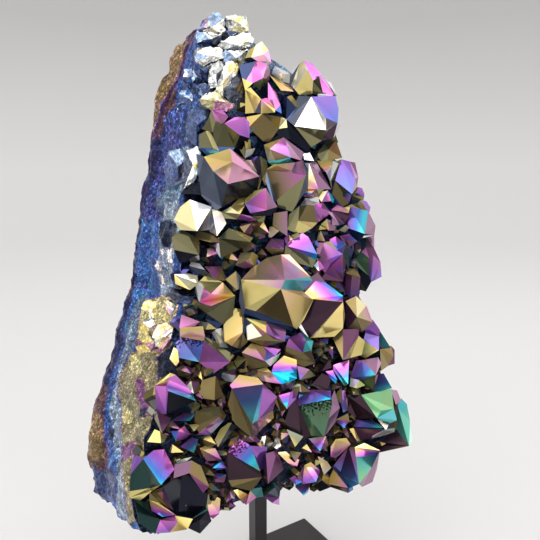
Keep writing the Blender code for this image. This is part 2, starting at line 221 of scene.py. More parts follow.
def slab_ring_points(height):
    """Places round the slab at each height, and each column's share from front to back.

    The ring runs along the front, the right edge, the back and the left edge. An edge
    stands out by its profile, and the back by a parabola.
    """
    front_left, back_left, front_right, back_right, front, back = (
        lerp_section(height, k)[:, None] for k in range(1, 7))
    depth = back - front
    across = np.arange(FRONT_COLUMNS) / FRONT_COLUMNS
    inward = np.arange(EDGE_COLUMNS) / EDGE_COLUMNS
    round_back = np.arange(BACK_COLUMNS) / BACK_COLUMNS
    relief = np.interp(inward, EDGE_PROFILE[:, 0], EDGE_PROFILE[:, 1]) * MM
    relief = relief * depth / FULL_DEPTH
    bulge = BACK_BULGE * (1 - (2 * round_back - 1) ** 2)
    x = np.hstack((front_left + (front_right - front_left) * across,
                   front_right + (back_right - front_right) * inward + relief,
                   back_right + (back_left - back_right) * round_back,
                   back_left + (front_left - back_left) * inward - relief[:, ::-1]))
    y = np.hstack((front + 0 * across, front + depth * inward,
                   back + bulge, back - depth * inward))
    share = np.concatenate((0 * across, inward, 1 + 0 * round_back, 1 - inward))
    return x, y, share, (y - front) / depth


def slab_skin():
    """Points, faces and front-to-back shares of the closed skin.

    Rings climb from the middle of the underside, round its rim, up the sides and in over
    the top. Each ring of the two ends is the end section shrunk towards its middle.
    """
    bottom, top = SLAB_SECTIONS[0, 0], SLAB_SECTIONS[-1, 0]
    wall = np.linspace(0, 1, WALL_ROWS)
    ends = (np.arange(END_ROWS) + 0.5) / (END_ROWS + 0.5)
    climb = np.concatenate((0 * ends, wall, 0 * ends + 1))
    spread = np.concatenate((ends, 0 * wall + 1, ends[::-1]))[:, None]
    height = bottom + (top - bottom) * climb
    x, y, share, inward = slab_ring_points(height)
    middle_x, middle_y = x.mean(1, keepdims=True), y.mean(1, keepdims=True)
    x = middle_x + (x - middle_x) * spread
    y = middle_y + (y - middle_y) * spread
    z = height[:, None] - UNDERSIDE_TILT * (1 - climb[:, None]) * inward
    grid = np.stack((x, y, z), axis=-1)
    around = np.roll(grid, -1, 1) - np.roll(grid, 1, 1)
    up = np.gradient(grid, axis=0)
    out = np.cross(around, up)
    out /= np.linalg.norm(out, axis=-1, keepdims=True) + 1e-12
    points, out = grid.reshape(-1, 3), out.reshape(-1, 3)
    shift = sum(lattice_noise(points, size, n) * move
                for n, (size, move) in enumerate(ROUGHNESS))
    cracks = np.abs(lattice_noise(points, CRACK_SIZE, CRACK_SEED)) * CRACK_DEPTH
    points = points + out * (shift - cracks)[:, None]
    rows, columns = grid.shape[:2]
    here = np.arange(rows * columns).reshape(rows, columns)
    beside = np.roll(here, -1, 1)
    quads = np.stack((here[:-1], beside[:-1], beside[1:], here[1:]), -1).reshape(-1, 4)
    faces = quads.tolist() + [here[0, ::-1].tolist(), here[-1].tolist()]
    return points, faces, np.broadcast_to(share, (rows, columns)).ravel()


# Film on the rock: colour along the film's order, brightness and greyness, then how many
# of its grains get a painted glint, and how bright they are beside the others.
ROCK_FINISHES = {
    "royal blue": (0.628, 0.29, 0.10, 0.16, 2.7), "indigo": (0.585, 0.11, 0.12, 0.05, 3.0),
    "steel blue": (0.610, 0.22, 0.35, 0.06, 2.4), "sky blue": (0.625, 0.27, 0.18, 0.16, 3.0),
    "maroon": (0.450, 0.085, 0.20, 0.05, 4.0), "magenta": (0.430, 0.30, 0.30, 0.06, 2.0),
    "gold brown": (0.240, 0.23, 0.00, 0.06, 2.8), "rust": (0.300, 0.10, 0.14, 0.05, 3.0),
    "yellow gold": (0.140, 0.52, 0.20, 0.20, 1.8), "khaki": (0.160, 0.30, 0.36, 0.02, 2.0),
    "pale grey": (0.645, 0.76, 0.80, 0.12, 1.5), "blue grey": (0.645, 0.40, 0.66, 0.10, 1.8),
    "charcoal": (0.620, 0.05, 0.35, 0.05, 6.0), "white": (0.000, 1.00, 0.60, 0.30, 1.1),
    "pink white": (0.380, 0.85, 0.35, 0.20, 1.4), "ultramarine": (0.598, 0.19, 0.04, 0.20, 4.0),
}
# Bands of the edge from the front to the back, by the share where each one starts.
EDGE_BANDS = ((0.03, "khaki"), (0.22, "pale grey"), (0.34, "blue grey"), (0.46, "royal blue"),
              (0.74, "maroon"), (0.84, "gold brown"))
# What lies over them on the broken left edge, as outlines on the layout sheet.
ROCK_ZONES = (
    ("royal blue", "60,10 250,10 250,540 60,540"),
    ("gold brown", "190,38 160,45 140,80 136,108 130,135 130,165 144,165 150,140 156,122 161,105 "
                   "168,90 177,78 182,60 188,50"),
    ("maroon", "195,24 186,45 182,60 178,78 168,90 162,105 157,122 151,140 144,165 140,185 "
               "144,185 150,165 156,145 162,125 166,108 171,92 179,80 185,62 188,48 199,30"),
    ("indigo", "151,140 162,134 165,150 156,176 146,196 142,188 146,165"),
    ("sky blue", "188,50 198,50 200,70 207,84 207,98 199,110 180,114 176,104 184,84 188,70"),
    ("sky blue", "161,130 166,130 165,140 160,140"),
    ("rust", "172,90 177,88 174,114 169,116 164,128 160,140 158,132 163,116"),
    ("sky blue", "172,134 176,136 175,146 171,146"),
    ("ultramarine", "166,112 186,108 184,148 176,190 160,216 144,222 146,196 156,176 162,134"),
    ("sky blue", "180,118 184,120 183,128 179,126"), ("sky blue", "154,186 158,188 156,200 152,197"),
    ("steel blue", "186,112 204,106 206,146 186,148 180,136"),
    ("blue grey", "168,150 184,147 190,160 188,186 180,196 178,215 160,215 156,200 166,186"),
    ("pale grey", "186,148 203,148 202,184 186,188"),
    ("pale grey", "174,154 186,148 190,164 189,188 181,190 172,184"),
    ("pale grey", "166,204 178,200 178,222 174,262 172,300 160,300 158,262 160,240 158,222"),
    ("charcoal", "160,221 167,219 176,226 174,238 168,247 163,244 160,234"),
    # The white zones are painted highlights on small broken faces.
    ("white", "166,249 172,247 173,262 169,261"), ("white", "153,265 157,262 161,268 158,271"),
    ("white", "160,248 163,247 164,256 161,255"), ("white", "160,274 163,275 165,285 162,284"),
    ("indigo", "144,186 130,240 120,262 118,309 128,309 134,290 135,272 136,250 141,225 148,192"),
    ("sky blue", "145,282 151,280 152,288 147,289"),
    ("blue grey", "138,300 148,296 146,312 138,330 134,352 122,362 124,345 128,322"),
    ("charcoal", "158,346 190,340 190,402 160,400 157,372"),
    ("indigo", "128,296 122,318 116,330 108,350 100,365 96,384 106,386 112,370 118,358 "
               "123,338 127,318"),
    ("yellow gold", "146,300 168,294 178,304 176,330 168,350 152,356 138,350 137,330 140,314"),
    ("pink white", "156,324 172,324 172,340 160,352 150,348 152,336"),
    ("khaki", "132,352 150,352 158,360 156,386 157,412 150,440 134,450 122,446 122,415 "
              "118,395 121,375 126,362"),
    ("yellow gold", "130,354 140,354 142,370 136,378 130,368"),
    ("magenta", "134,376 142,380 150,400 158,410 154,418 142,412 136,396"),
    ("yellow gold", "121,404 128,408 132,418 128,426 122,420"),
    ("magenta", "120,444 140,440 146,452 128,464 120,460"),
    ("yellow gold", "134,444 152,438 150,452 134,462"),
    ("charcoal", "140,408 146,410 146,418 140,416"),
    ("khaki", "118,462 134,458 134,482 131,500 136,520 128,524 122,512 116,495"),
    ("pale grey", "134,318 126,340 119,365 112,395 106,420 112,440 115,460 116,480 115,497 "
                  "118,514 128,520 126,497 121,470 122,440 121,415 117,395 121,375 128,350"),
    ("sky blue", "121,352 116,366 111,380 107,395 103,412 103,428 107,442 111,456 114,468 "
                 "117,462 113,442 112,426 108,412 112,395 117,378"),
    ("charcoal", "108,428 114,430 113,440 109,438"), ("charcoal", "117,445 120,446 119,452"),
    ("rust", "98,378 90,395 86,412 82,440 88,474 108,472 107,450 103,432 103,412 108,388"),
    ("gold brown", "88,412 99,412 103,432 104,455 98,462 84,455 82,430"),
    ("steel blue", "86,470 110,468 114,472 118,484 116,502 90,500"),
)
FRONT_SHARE, BACK_SHARE = 0.03, 0.99     # where the edge starts and ends
BAND_RAG = 0.05                     # how far a band's border wanders, of the edge
ZONE_RAG = (1.2, 3)                 # and a zone's, across and down in sheet units
LEFT_WIDTH = 12 * MM
KNOB_FOOT = 296 * MM
# Stains on the rind: the range of a slow noise where each one shows.
RIND_STAINS = (("rust", -9, -0.15), ("indigo", -9, -0.45), ("maroon", 0.55, 9))
BRIGHTEST_GLINT = 1.1


def rock_film(points, share):
    """Film at each point: bands and the left edge's zones laid over them, and painted glints.

    Noise moves a point before it is tested, which makes every border ragged. The front
    is painted charcoal as painted shadow under the crystals, except on the broken knob at
    the top. The rind at the back swings from gold to blue.
    """
    ragged = lattice_noise(points, 9 * MM, 31) + 0.8 * lattice_noise(points, 3 * MM, 32)
    other = lattice_noise(points, 4 * MM, 35)
    # Charcoal to start with, which stays on the front as painted shadow under the crystals.
    film = np.tile(ROCK_FINISHES["charcoal"], (len(points), 1))
    for near, name in EDGE_BANDS:
        film[share + BAND_RAG * ragged * (share > 0.1) > near] = ROCK_FINISHES[name]
    x, y = sheet_places(points)
    x, y = x + ZONE_RAG[0] * ragged, y + ZONE_RAG[1] * other
    left_side = points[:, 0] < lerp_section(points[:, 2], 1) + LEFT_WIDTH
    left_side &= (share > FRONT_SHARE) & (share < BACK_SHARE)
    for name, outline in ROCK_ZONES:
        here = left_side & inside_outline(x, y, sheet_corners(outline.split()))
        film[here] = ROCK_FINISHES[name]
    film[(share < FRONT_SHARE) & (points[:, 2] > KNOB_FOOT)] = ROCK_FINISHES["blue grey"]
    slow = lattice_noise(points, 38 * MM, 33) + 0.35 * ragged
    for name, low, high in RIND_STAINS:
        film[(share > BACK_SHARE) & (slow > low) & (slow < high)] = ROCK_FINISHES[name]
    film[:, 0] += 0.02 * other
    film[:, 1] *= 1 + 0.40 * lattice_noise(points, 2.2 * MM, 34) + 0.22 * other
    # Painted glints: a few points at random are made several times brighter, as painted highlights.
    glint = np.random.default_rng(7).random(len(points)) < film[:, 3]
    film[glint, 1] = np.minimum(film[glint, 1] * film[glint, 4], BRIGHTEST_GLINT)
    return film[:, :3]


def effect_group(name, numbers, others):
    """A node group with number inputs and their usual values, then its other sockets.

    Each other socket is a name, a side and a kind.
    """
    group = bpy.data.node_groups.new(name, "ShaderNodeTree")
    for entry, value in numbers.items():
        socket = group.interface.new_socket(entry, in_out="INPUT",
                                            socket_type="NodeSocketFloat")
        socket.default_value = value
    for entry, side, kind in others:
        group.interface.new_socket(entry, in_out=side, socket_type="NodeSocket" + kind)
    return group, group.nodes.new("NodeGroupInput"), group.nodes.new("NodeGroupOutput")


# Colours that a growing oxide film takes in turn, each at its place in the order.
FILM_ORDER = (
    (0.00, (0.90, 0.91, 0.89)), (0.07, (0.92, 0.85, 0.62)), (0.13, (0.86, 0.74, 0.26)),
    (0.20, (0.80, 0.56, 0.17)), (0.27, (0.87, 0.53, 0.37)), (0.34, (0.88, 0.36, 0.58)),
    (0.41, (0.82, 0.22, 0.72)), (0.49, (0.45, 0.13, 0.66)), (0.56, (0.26, 0.20, 0.76)),
    (0.63, (0.09, 0.26, 0.84)), (0.71, (0.02, 0.72, 0.95)), (0.78, (0.05, 0.52, 0.52)),
    (0.85, (0.20, 0.58, 0.28)), (0.92, (0.42, 0.44, 0.14)), (1.00, (0.58, 0.48, 0.18)))


def film_colours():
    """Group: colour of the metal film from its order, brightness and greyness.

    The order wanders a little from place to place. It runs through silver, gold, hot
    pink, violet, blue, cyan, green and olive.
    """
    group, inside, outside = effect_group(
        "film_colour", {"Order": 0.5, "Brightness": 0.5, "Greyness": 0.0, "Wander": 0.05,
                        "Wander Scale": 120.0}, [("Colour", "OUTPUT", "Color")])
    place = add_node(group, "TexCoord")
    noise = add_node(group, "TexNoise", {"Detail": 4})
    centred = add_node(group, "Math", {1: 0.5}, operation="SUBTRACT")
    moved = add_node(group, "Math", operation="MULTIPLY_ADD")
    ramp = add_node(group, "ValToRGB")
    elements = ramp.color_ramp.elements
    while len(elements) < len(FILM_ORDER):
        elements.new(0.5)
    for element, (order, colour) in zip(elements, FILM_ORDER):
        element.position = order
        element.color = (*colour, 1)
    grey = add_node(group, "RGBToBW")
    greyed = add_node(group, "Mix", data_type="RGBA")
    lit = add_node(group, "VectorMath", operation="SCALE")
    wire(group, (place, "Object", noise, "Vector"), (inside, "Wander Scale", noise, "Scale"),
         (noise, "Fac", centred, 0), (centred, 0, moved, 0), (inside, "Wander", moved, 1),
         (inside, "Order", moved, 2), (moved, 0, ramp, "Fac"), (ramp, "Color", grey, 0),
         (inside, "Greyness", greyed, "Factor"), (ramp, "Color", greyed, "A"),
         (grey, 0, greyed, "B"), (greyed, "Result", lit, 0),
         (inside, "Brightness", lit, "Scale"), (lit, "Vector", outside, "Colour"))
    return group


def sparkle_grains():
    """Group: a normal that tilts at random from grain to grain, as broken quartz does."""
    group, inside, outside = effect_group(
        "sparkle_grain", {"Scale": 700.0, "Tilt": 0.6},
        [("Normal", "INPUT", "Vector"), ("Grain", "OUTPUT", "Float"),
         ("Normal", "OUTPUT", "Vector")])
    place = add_node(group, "TexCoord")
    cells = add_node(group, "TexVoronoi")
    centred = add_node(group, "VectorMath", {1: (0.5, 0.5, 0.5)}, operation="SUBTRACT")
    scaled = add_node(group, "VectorMath", operation="SCALE")
    tilted = add_node(group, "VectorMath", operation="ADD")
    unit = add_node(group, "VectorMath", operation="NORMALIZE")
    grain = add_node(group, "SeparateColor")
    wire(group, (place, "Object", cells, "Vector"), (inside, "Scale", cells, "Scale"),
         (cells, "Color", centred, 0), (centred, "Vector", scaled, 0),
         (inside, "Tilt", scaled, "Scale"), (scaled, "Vector", tilted, 0),
         (inside, "Normal", tilted, 1), (tilted, "Vector", unit, 0),
         (unit, "Vector", outside, "Normal"), (cells, "Color", grain, "Color"),
         (grain, "Red", outside, "Grain"))
    return group


film_colour = film_colours()
sparkle_grain = sparkle_grains()


def coated_surface(name, given, wander, wander_scale):
    """A material that reads the film stored on the mesh. Returns it and its main nodes."""
    material, tree, shader = new_material(name, given)
    stored = add_node(tree, "Attribute", attribute_name="film")
    split = add_node(tree, "SeparateColor")
    film = add_node(tree, "Group", {"Wander": wander, "Wander Scale": wander_scale},
                    node_tree=film_colour)
    wire(tree, (stored, "Color", split, "Color"), (split, "Red", film, "Order"),
         (split, "Green", film, "Brightness"), (split, "Blue", film, "Greyness"))
    return material, tree, shader, stored, film


def grainy_rock(name, scale, tilt, painted_sparkle_range, roughness):
    """Film on broken quartz: grains that glint one by one, from their tilted normals and from a painted
    glint in their colour, over a fine grit.
    """
    material, tree, shader, _, film = coated_surface(
        name, {"Metallic": 0.6, "Specular IOR Level": 0.15}, 0.10, 260)
    place = add_node(tree, "TexCoord")
    grit = add_node(tree, "TexNoise", {"Scale": 900, "Detail": 5})
    bump = add_node(tree, "Bump", {"Strength": 0.7, "Distance": 0.5 * MM})
    grains = add_node(tree, "Group", {"Scale": scale, "Tilt": tilt}, node_tree=sparkle_grain)
    gloss = add_node(tree, "MapRange", {"To Min": roughness[0], "To Max": roughness[1]})
    # Painted glints: the grain value cubed brightens the colour, a few grains far over the rest.
    spark = add_node(tree, "Math", {1: 3.0}, operation="POWER")
    painted_sparkle = add_node(tree, "MapRange", {"To Min": painted_sparkle_range[0], "To Max": painted_sparkle_range[1]})
    lit = add_node(tree, "VectorMath", operation="SCALE")
    wire(tree, (grains, "Grain", spark, 0), (spark, 0, painted_sparkle, "Value"),
         (film, "Colour", lit, 0), (painted_sparkle, "Result", lit, "Scale"),
         (lit, "Vector", shader, "Base Color"), (place, "Object", grit, "Vector"),
         (grit, "Fac", bump, "Height"), (bump, "Normal", grains, "Normal"),
         (grains, "Grain", gloss, "Value"), (grains, "Normal", shader, "Normal"),
         (gloss, "Result", shader, "Roughness"))
    return material


def set_film(mesh, film, domain):
    """Store order, brightness and greyness on a mesh, one row to a point or a corner."""
    layer = mesh.color_attributes.new("film", "FLOAT_COLOR", domain)
    spare = np.zeros((len(film), 1)) if film.shape[1] == 3 else np.zeros((len(film), 0))
    rows = np.hstack((film, spare)).astype(np.float32)
    layer.data.foreach_set("color", rows.ravel())


def grown_piece(name, points, faces, material):
    """Make a mesh piece of the cluster and fix it to the stone."""
    mesh = bpy.data.meshes.new(name)
    mesh.from_pydata(np.asarray(points).tolist(), [], faces)
    mesh.materials.append(material)
    piece = bpy.data.objects.new(name, mesh)
    bpy.context.scene.collection.objects.link(piece)
    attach(piece, "root")
    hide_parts("amethyst_cluster")
    return piece


broken_rock = grainy_rock("coated_broken_rock", 1200, 1.0, (0.55, 2.1), (0.22, 0.55))
skin_points, skin_faces, skin_share = slab_skin()
rock = grown_piece("rock_slab", skin_points, skin_faces, broken_rock)
set_film(rock.data, rock_film(skin_points, skin_share), "POINT")
rock.data.shade_smooth()


# ---------------------------------------------------------------------------------------
# Large points: the amethyst crystals that stand out of the crust, each drawn face by face
# on the layout sheet. Vapour-coated with metal, every flat face shows its own run of film
# colours, bright as a mirror. Their roots are grown together in the rock.
# ---------------------------------------------------------------------------------------
# Finish of a face: film order, brightness, greyness. The brightness is painted light and shade: W
# paints a highlight, X paints shade, and the rest lie between.
FILMS_AND_PAINTED_LIGHT = {
    "W": (0.00, 1.10, 0.50),        # white
    "I": (0.06, 1.05, 0.22),        # ivory
    "Y": (0.12, 1.00, 0.00),        # yellow gold
    "G": (0.165, 0.72, 0.02),       # gold
    "g": (0.150, 0.49, 0.05),       # old gold
    "H": (0.14, 0.46, 0.30),        # khaki
    "F": (0.25, 0.95, 0.05),        # peach
    "J": (0.20, 0.26, 0.12),        # brown
    "K": (0.19, 0.14, 0.14),        # umber
    "P": (0.39, 1.00, 0.00),        # hot pink
    "M": (0.43, 0.55, 0.10),        # magenta
    "f": (0.34, 0.45, 0.18),        # dusty pink
    "R": (0.38, 0.15, 0.16),        # maroon
    "V": (0.50, 0.44, 0.14),        # purple
    "v": (0.55, 0.20, 0.26),        # dull purple
    "L": (0.54, 0.74, 0.28),        # lavender
    "U": (0.38, 0.35, 0.46),        # mauve
    "B": (0.62, 0.60, 0.15),        # blue
    "b": (0.67, 0.70, 0.35),        # pale blue
    "C": (0.71, 1.00, 0.00),        # cyan
    "T": (0.77, 0.62, 0.15),        # teal
    "t": (0.77, 0.22, 0.25),        # dull teal
    "Q": (0.86, 0.85, 0.10),        # green
    "S": (0.85, 0.32, 0.26),        # sage
    "O": (0.96, 0.33, 0.25),        # olive
    "D": (0.96, 0.145, 0.25),       # dark olive
    "d": (0.80, 0.07, 0.30),        # bottle green
    "n": (0.62, 0.30, 0.50),        # steel blue
    "a": (0.65, 0.95, 0.72),        # pale blue-grey
    "A": (0.02, 0.42, 0.85),        # ash
    "e": (0.63, 0.30, 0.80),        # lead grey
    "E": (0.63, 0.19, 0.82),        # grey
    "N": (0.62, 0.10, 0.25),        # navy
    "Z": (0.36, 0.05, 0.34),        # black plum
    "X": (0.60, 0.025, 0.60),       # black
}
# Each crystal: its tip (and a second one at the other end of a ridge), then each face by
# its finish, or two finishes that it runs through from its first edge to its far side,
# and its corners in order. * and + are the tips, and a corner with a - lies at the foot.
# A face with a ! is pitted along its first edge: the pits are painted shade, patches of its colour made
# dark.
LARGE_POINTS = (
    # upper right
    ("326,118 326,130", "LB 335,97 312,98 * 337,123 338,110", "W 312,98 296,126 + *",
     "Z 337,123 333,138 322,140 + *", "O 296,126 312,146 322,140 +",
     "E 312,98 300,97- 289,120- 296,126", "X 289,120- 296,126 312,146 308,150- 290,138-",
     "A 338,110 337,123 333,138 342,122-"),
    ("308,70", "HI 300,64 304,61 * 295,88 292,85", "g * 313,80 312,93 300,94 295,88",
     "E 300,64 292,85 285,91- 284,88- 299,65-", "MP 304,61 312,64 321,75 313,80 *"),
    ("319,76", "MP * 325,79 333,93 332,95 323,93", "O * 323,93 312,93 313,80",
     "A 325,79 333,93 336,95- 331,83-"),
    ("287,97", "N 281,95 * 296,107 286,119", "g * 291,95 299,105 296,107",
     "B 286,119 296,107 292,114- 288,119-"),
    ("333,135", "D 325,142 * 335,133 338,142 329,147"),
    ("336,140", "J * 342,157 328,160 329,149", "O 329,149 328,160 322,160 317,154 322,147",
     "D 336,140 329,149 322,147 325,143-"),
    ("270,149", "G 264,145 283,138 *", "PL * 283,138 290,157", "YI 264,145 * 275,160 268,161",
     "H * 275,160 290,157", "U 283,138 290,157 300,160- 302,152-",
     "T 268,161 290,157 286,164- 272,165-"),
    ("281,117", "K 263,114 * 279,128 270,141 264,140 250,127", "G 248,117 263,114 250,127",
     "Y * 286,119 287,127 279,128", "X 279,128 287,127 290,138- 270,141"),
    ("261,99", "G 246,90 251,88 * 255,112 246,113", "E * 261,113 255,112",
     "PY * 267,98 275,109 274,112 261,113"),
    ("268,82", "P * 276,93 280,104 275,109 268,98", "X * 268,98 262,91", "B 275,109 280,104 281,112-"),
    ("281,81", "GF 270,75 * 292,88 293,91 281,90"),
    ("282,74", "A * 290,74 289,83 281,81", "W 275,66 * 281,81 272,74", "A 275,66 290,74 *"),
    ("263,78", "P 256,62 267,64 * 253,83 247,80 252,72", "n 240,66- 256,62 252,72 247,80 243,78-",
     "O 253,83 * 269,80 260,90", "U * 267,64 270,70 269,80", "G 243,78- 247,80 253,83 246,90-"),
    ("264,54", "Y 252,57 256,46 262,42 *", "Y 262,42 268,50 *", "P 268,50 271,63 *",
     "I * 271,63 262,64 252,57", "g 250,50 256,46 252,57 246,58-"),
    ("309,163", "WP 303,163 * 318,188 308,188", "U * 316,162 323,175 330,188 318,188",
     "N 303,163 308,188 303,192- 299,176-"),
    ("314,161", "W 302,154 310,153 * 305,160", "X 310,153 318,152- 319,160- *"),
    ("326,172", "YP 317,161 333,161 331,167 * 321,167", "A 333,161 338,164 330,181 * 331,167",
     "E 317,161 321,167 * 318,172-"),
    ("352,194", "VB 342,161 350,163 355,180 * 336,181", "K 336,181 * 349,203 343,206 333,194",
     "U 350,163 355,164- 358,178- 357,187- * 355,180", "O 342,161 336,181 333,190- 330,180- 337,163-"),
    ("358,187", "G 354,189 * 356,194 353,195", "V * 362,188 364,193 364,196 356,194",
     "O 353,195 356,194 364,196 363,200- 352,200-"),
    ("361,200", "YF 358,203 * 367,210 361,209", "V * 366,201 370,207 369,212 367,210",
     "H 352,204- 358,203 361,209 367,210 356,209- 345,207-"),
    ("365,234", "VT 351,208 348,228 * 368,212", "U 368,212 375,226 374,235 *",
     "N 348,228 * 361,241- 356,243-", "YF 344,209- 351,208 349,218-"),
    ("349,213", "PF 332,210 338,205 347,209 *", "R 332,210 * 349,216 345,223 337,226"),
    ("331,201", "YI 319,198 323,192 328,191 325,196 322,202", "P 325,196 328,191 * 322,202",
     "C * 328,191 334,199 333,203"),
    ("307,205 314,205", "K * + 317,222 299,220", "O 300,206 * 299,220 295,231 288,228 290,214",
     "M + 319,203 331,212 321,219 317,222", "g 299,220 317,222 312,227- 303,232- 295,231",
     "U 319,203 323,203- 338,224- 331,224- 331,212", "A 300,206 * + 319,203 318,197- 305,199-"),
    ("327,219", "YF 321,224 * 329,230", "U * 334,222 336,230 329,230"),
    ("321,231", "YH 319,232 * 325,241 317,240", "X * 327,232 330,241- 325,241"),
    ("346,225", "YI 339,230 * 349,228 345,232", "F 334,229- 339,230 339,232 335,233-"),
    ("349,234", "PC 340,236 * 357,241 345,239", "R 340,236 345,239 357,241 347,248-"),
    ("369,258", "UL 366,248 374,249 380,262 381,276 371,281 *", "S 356,259 362,252 * 369,275 358,266",
     "P 362,252 366,248 *", "X 358,266 369,275 371,281 366,290- 359,276-",
     "U 366,248 374,249 376,246- 374,236- 367,238-", "L 371,281 369,275 *"),
    ("312,193", "CW 305,192 * 315,198 304,197", "Y 307,189 316,189 * 305,192",
     "O 316,189 324,188 320,197 315,198 *"),
    # upper left
    ("228,184", "Gf 205,158 230,150 232,163 * 214,172", "f 230,150 243,160 258,177 * 232,163",
     "e 198,155- 205,158 214,172 200,178", "e 214,172 * 222,206 216,210 200,192 200,178",
     "X * 258,177 255,192 237,198 222,206", "K 258,177 262,172- 257,190- 255,192"),
    ("306,175", "U 303,161 * 292,171 296,163", "KM 268,170 278,199 * 292,171",
     "gf 268,170 275,165 296,163 292,171", "O 278,199 * 298,201 293,210 280,206",
     "E 303,161 308,170- 307,189- 298,201 *", "a 268,170 264,173- 276,203- 278,199"),
    ("240,135", "MV 225,124 235,118 245,118 249,123 249,138 *", "D 225,124 * 235,147 217,146 214,132",
     "Bb 217,146 235,147 231,153- 219,152-", "X * 249,138 244,150- 235,147"),
    ("223,124", "MR 212,110 222,110 228,117 * 216,121", "D 203,129 210,117 212,110 216,121 * 213,132"),
    ("213,148", "D 200,135 206,132 * 200,148", "Y 206,132 210,131 219,151 *",
     "BC 200,148 * 219,152 208,156"),
    ("246,150", "O 236,143 244,137 * 245,158", "G 244,137 250,140 251,152 *",
     "I * 255,148 252,154 245,158"),
    ("251,160", "I 245,160 * 257,172 250,172", "U * 255,161 259,172 257,172"),
    ("260,156", "E 255,162 * 262,178 256,172", "O * 266,160 268,168 262,178",
     "G 262,178 268,168 270,176- 265,184-"),
    ("266,188", "PL 267,209 * 246,203 251,212", "U * 277,206 267,209", "Y 246,203 * 254,191- 246,199-",
     "X 251,212 267,209 277,206 272,214- 255,215-"),
    ("240,214", "H 222,212 231,207 * 237,219 222,218", "g 231,207 239,199 254,196 246,204 *",
     "MV * 250,216 256,220 248,221 237,219", "O 250,216 264,216 262,226- 256,220"),
    ("197,231", "H 175,220 181,208 190,201 * 180,230", "W 190,201 211,208 *", "AE 211,208 209,230 *"),
    ("217,236", "A 212,210 214,221 * 210,232", "WY 212,210 221,213 226,224 *"),
    ("192,194", "X 181,194 188,184 199,182 *", "E 199,182 204,191 201,195 *"),
    ("199,255", "D 173,238 180,232 187,233 * 175,250", "J 187,233 199,240 200,250 *",
     "X 175,250 * 200,262- 180,262-"),
    ("250,242", "D 220,238 230,229 * 240,249 222,257", "A 216,240- 220,238 222,257 218,252-",
     "G 230,229 240,232- 253,238- *"),
    ("205,270", "N 190,266 * 211,276 197,276", "W 192,262 200,264 * 190,266"),
    ("216,280", "R 205,267 221,267 *", "J 221,267 227,281- *", "N 205,267 * 207,276-"),
    ("237,290", "J 226,280 236,272 *", "A 236,272 241,278 240,289 *", "E 226,280 * 231,293-"),
    ("279,231", "KU 273,227 274,214 287,212 287,236 *", "YI 270,227 273,227 * 272,237 269,237"),
    ("284,249", "UV 266,248 272,239 284,240 *", "g 266,248 * 283,254- 272,254-"),
    ("317,254", "PC 287,246 303,234 309,238 * 316,260", "O 287,246 316,260 313,267- 300,263- 286,254-"),
    ("249,259", "H 236,265 241,253 252,252 *", "G 252,252 258,256 255,267 *",
     "f 236,265 * 255,267 244,268-"),
    ("301,236", "YI 292,235 298,233 * 294,239"),
    ("290,240", "P 284,238 289,235 * 287,245", "F 289,235 293,239 287,245 *"),
    # middle
    ("281,289 285,280", "HU 243,280 253,269 268,259 281,256 + *", "FU 309,277 289,256 281,256 +",
     "T + 309,277 311,281 302,291 *", "gF 312,299 303,318 296,327 293,325 * 302,291",
     "K * 293,325 257,310", "g 243,280 * 257,310 247,307", "E 243,280 247,307 245,316- 241,300-",
     "N 247,307 257,310 293,325 292,329- 262,318- 246,312-"),
    ("343,302", "YC 313,299 306,294 317,282 327,284 343,296 *", "Z 313,299 * 311,337 303,323",
     "Gg * 345,315 343,327 335,335 314,336 311,337", "U 306,294 309,280- 319,274- 327,284 317,282",
     "W 303,323 311,337 308,338- 301,326-"),
    ("343,254 346,244", "fL 318,262 318,243 325,243 338,250 * 332,262",
     "VB 318,262 332,262 * 333,265 326,272", "R * 346,262 343,280 322,278 326,272 333,265",
     "PC 330,240 336,237 + 338,250", "L 338,250 + *", "H 325,243 330,240 338,250",
     "E * + 350,247- 348,270- 346,262"),
    ("319,271", "W 314,266 318,261 *", "P 318,261 321,263 324,268 *"),
    ("352,276", "J 346,273 347,269 356,269 360,277 *", "RV 346,273 * 350,297 345,290",
     "Rv * 360,277 358,299 350,297"),
    ("357,317", "J 346,302 356,297 *", "H 356,297 366,306 *", "fH 366,306 372,322 *",
     "J 372,322 362,331 *", "K 362,331 347,330 *", "R 347,330 346,302 *"),
    ("211,294 211,306", "g 200,282 206,276 222,283 * 204,288", "PY 200,302 204,288 * 222,283 234,296 +",
     "D 234,296 232,315 222,323 207,313 +", "A 196,284- 200,282 204,288 200,302 196,292-",
     "O 200,302 + 207,313 194,303-", "N 207,313 222,323 214,330- 206,318-"),
    ("232,346", "gF 224,326 235,310 241,311 243,319 242,333 * 225,342 223,334",
     "N 243,319 247,320- 246,338- 242,333", "K 242,333 * 240,349- 247,342-"),
    ("221,347", "W 211,331 214,330 * 219,347", "A 214,330 222,329 225,341 228,348 *"),
    ("204,341", "gf 181,328 203,327 205,337 181,337", "Lb! 181,337 * 199,361 180,357 177,343",
     "M * 229,361 213,372 199,361", "O 205,337 213,340 229,352 229,361 *", "g 181,337 205,337 *"),
    ("179,362", "YF 170,359 174,348 178,350 * 176,366"),
    ("195,326", "fP 182,315 200,322 * 180,328"),
    ("190,290", "IY 175,275 186,274 197,276 198,284 *", "YF 175,275 * 176,284"),
    ("262,336", "I 247,327 252,324 * 248,340", "YP 247,319 266,322 266,333 * 252,324",
     "UV 266,322 285,330 284,341 275,338 266,333", "E 247,319 252,324 247,327 245,338- 243,322-",
     "K * 266,333 275,338 284,341 265,346- 248,340"),
    ("265,361", "GM 252,344 263,347 266,352 * 243,353", "MC 263,347 280,350 275,356 * 266,352",
     "I * 275,356 280,353 276,361 270,366", "K 243,353 * 270,366 250,369 245,360"),
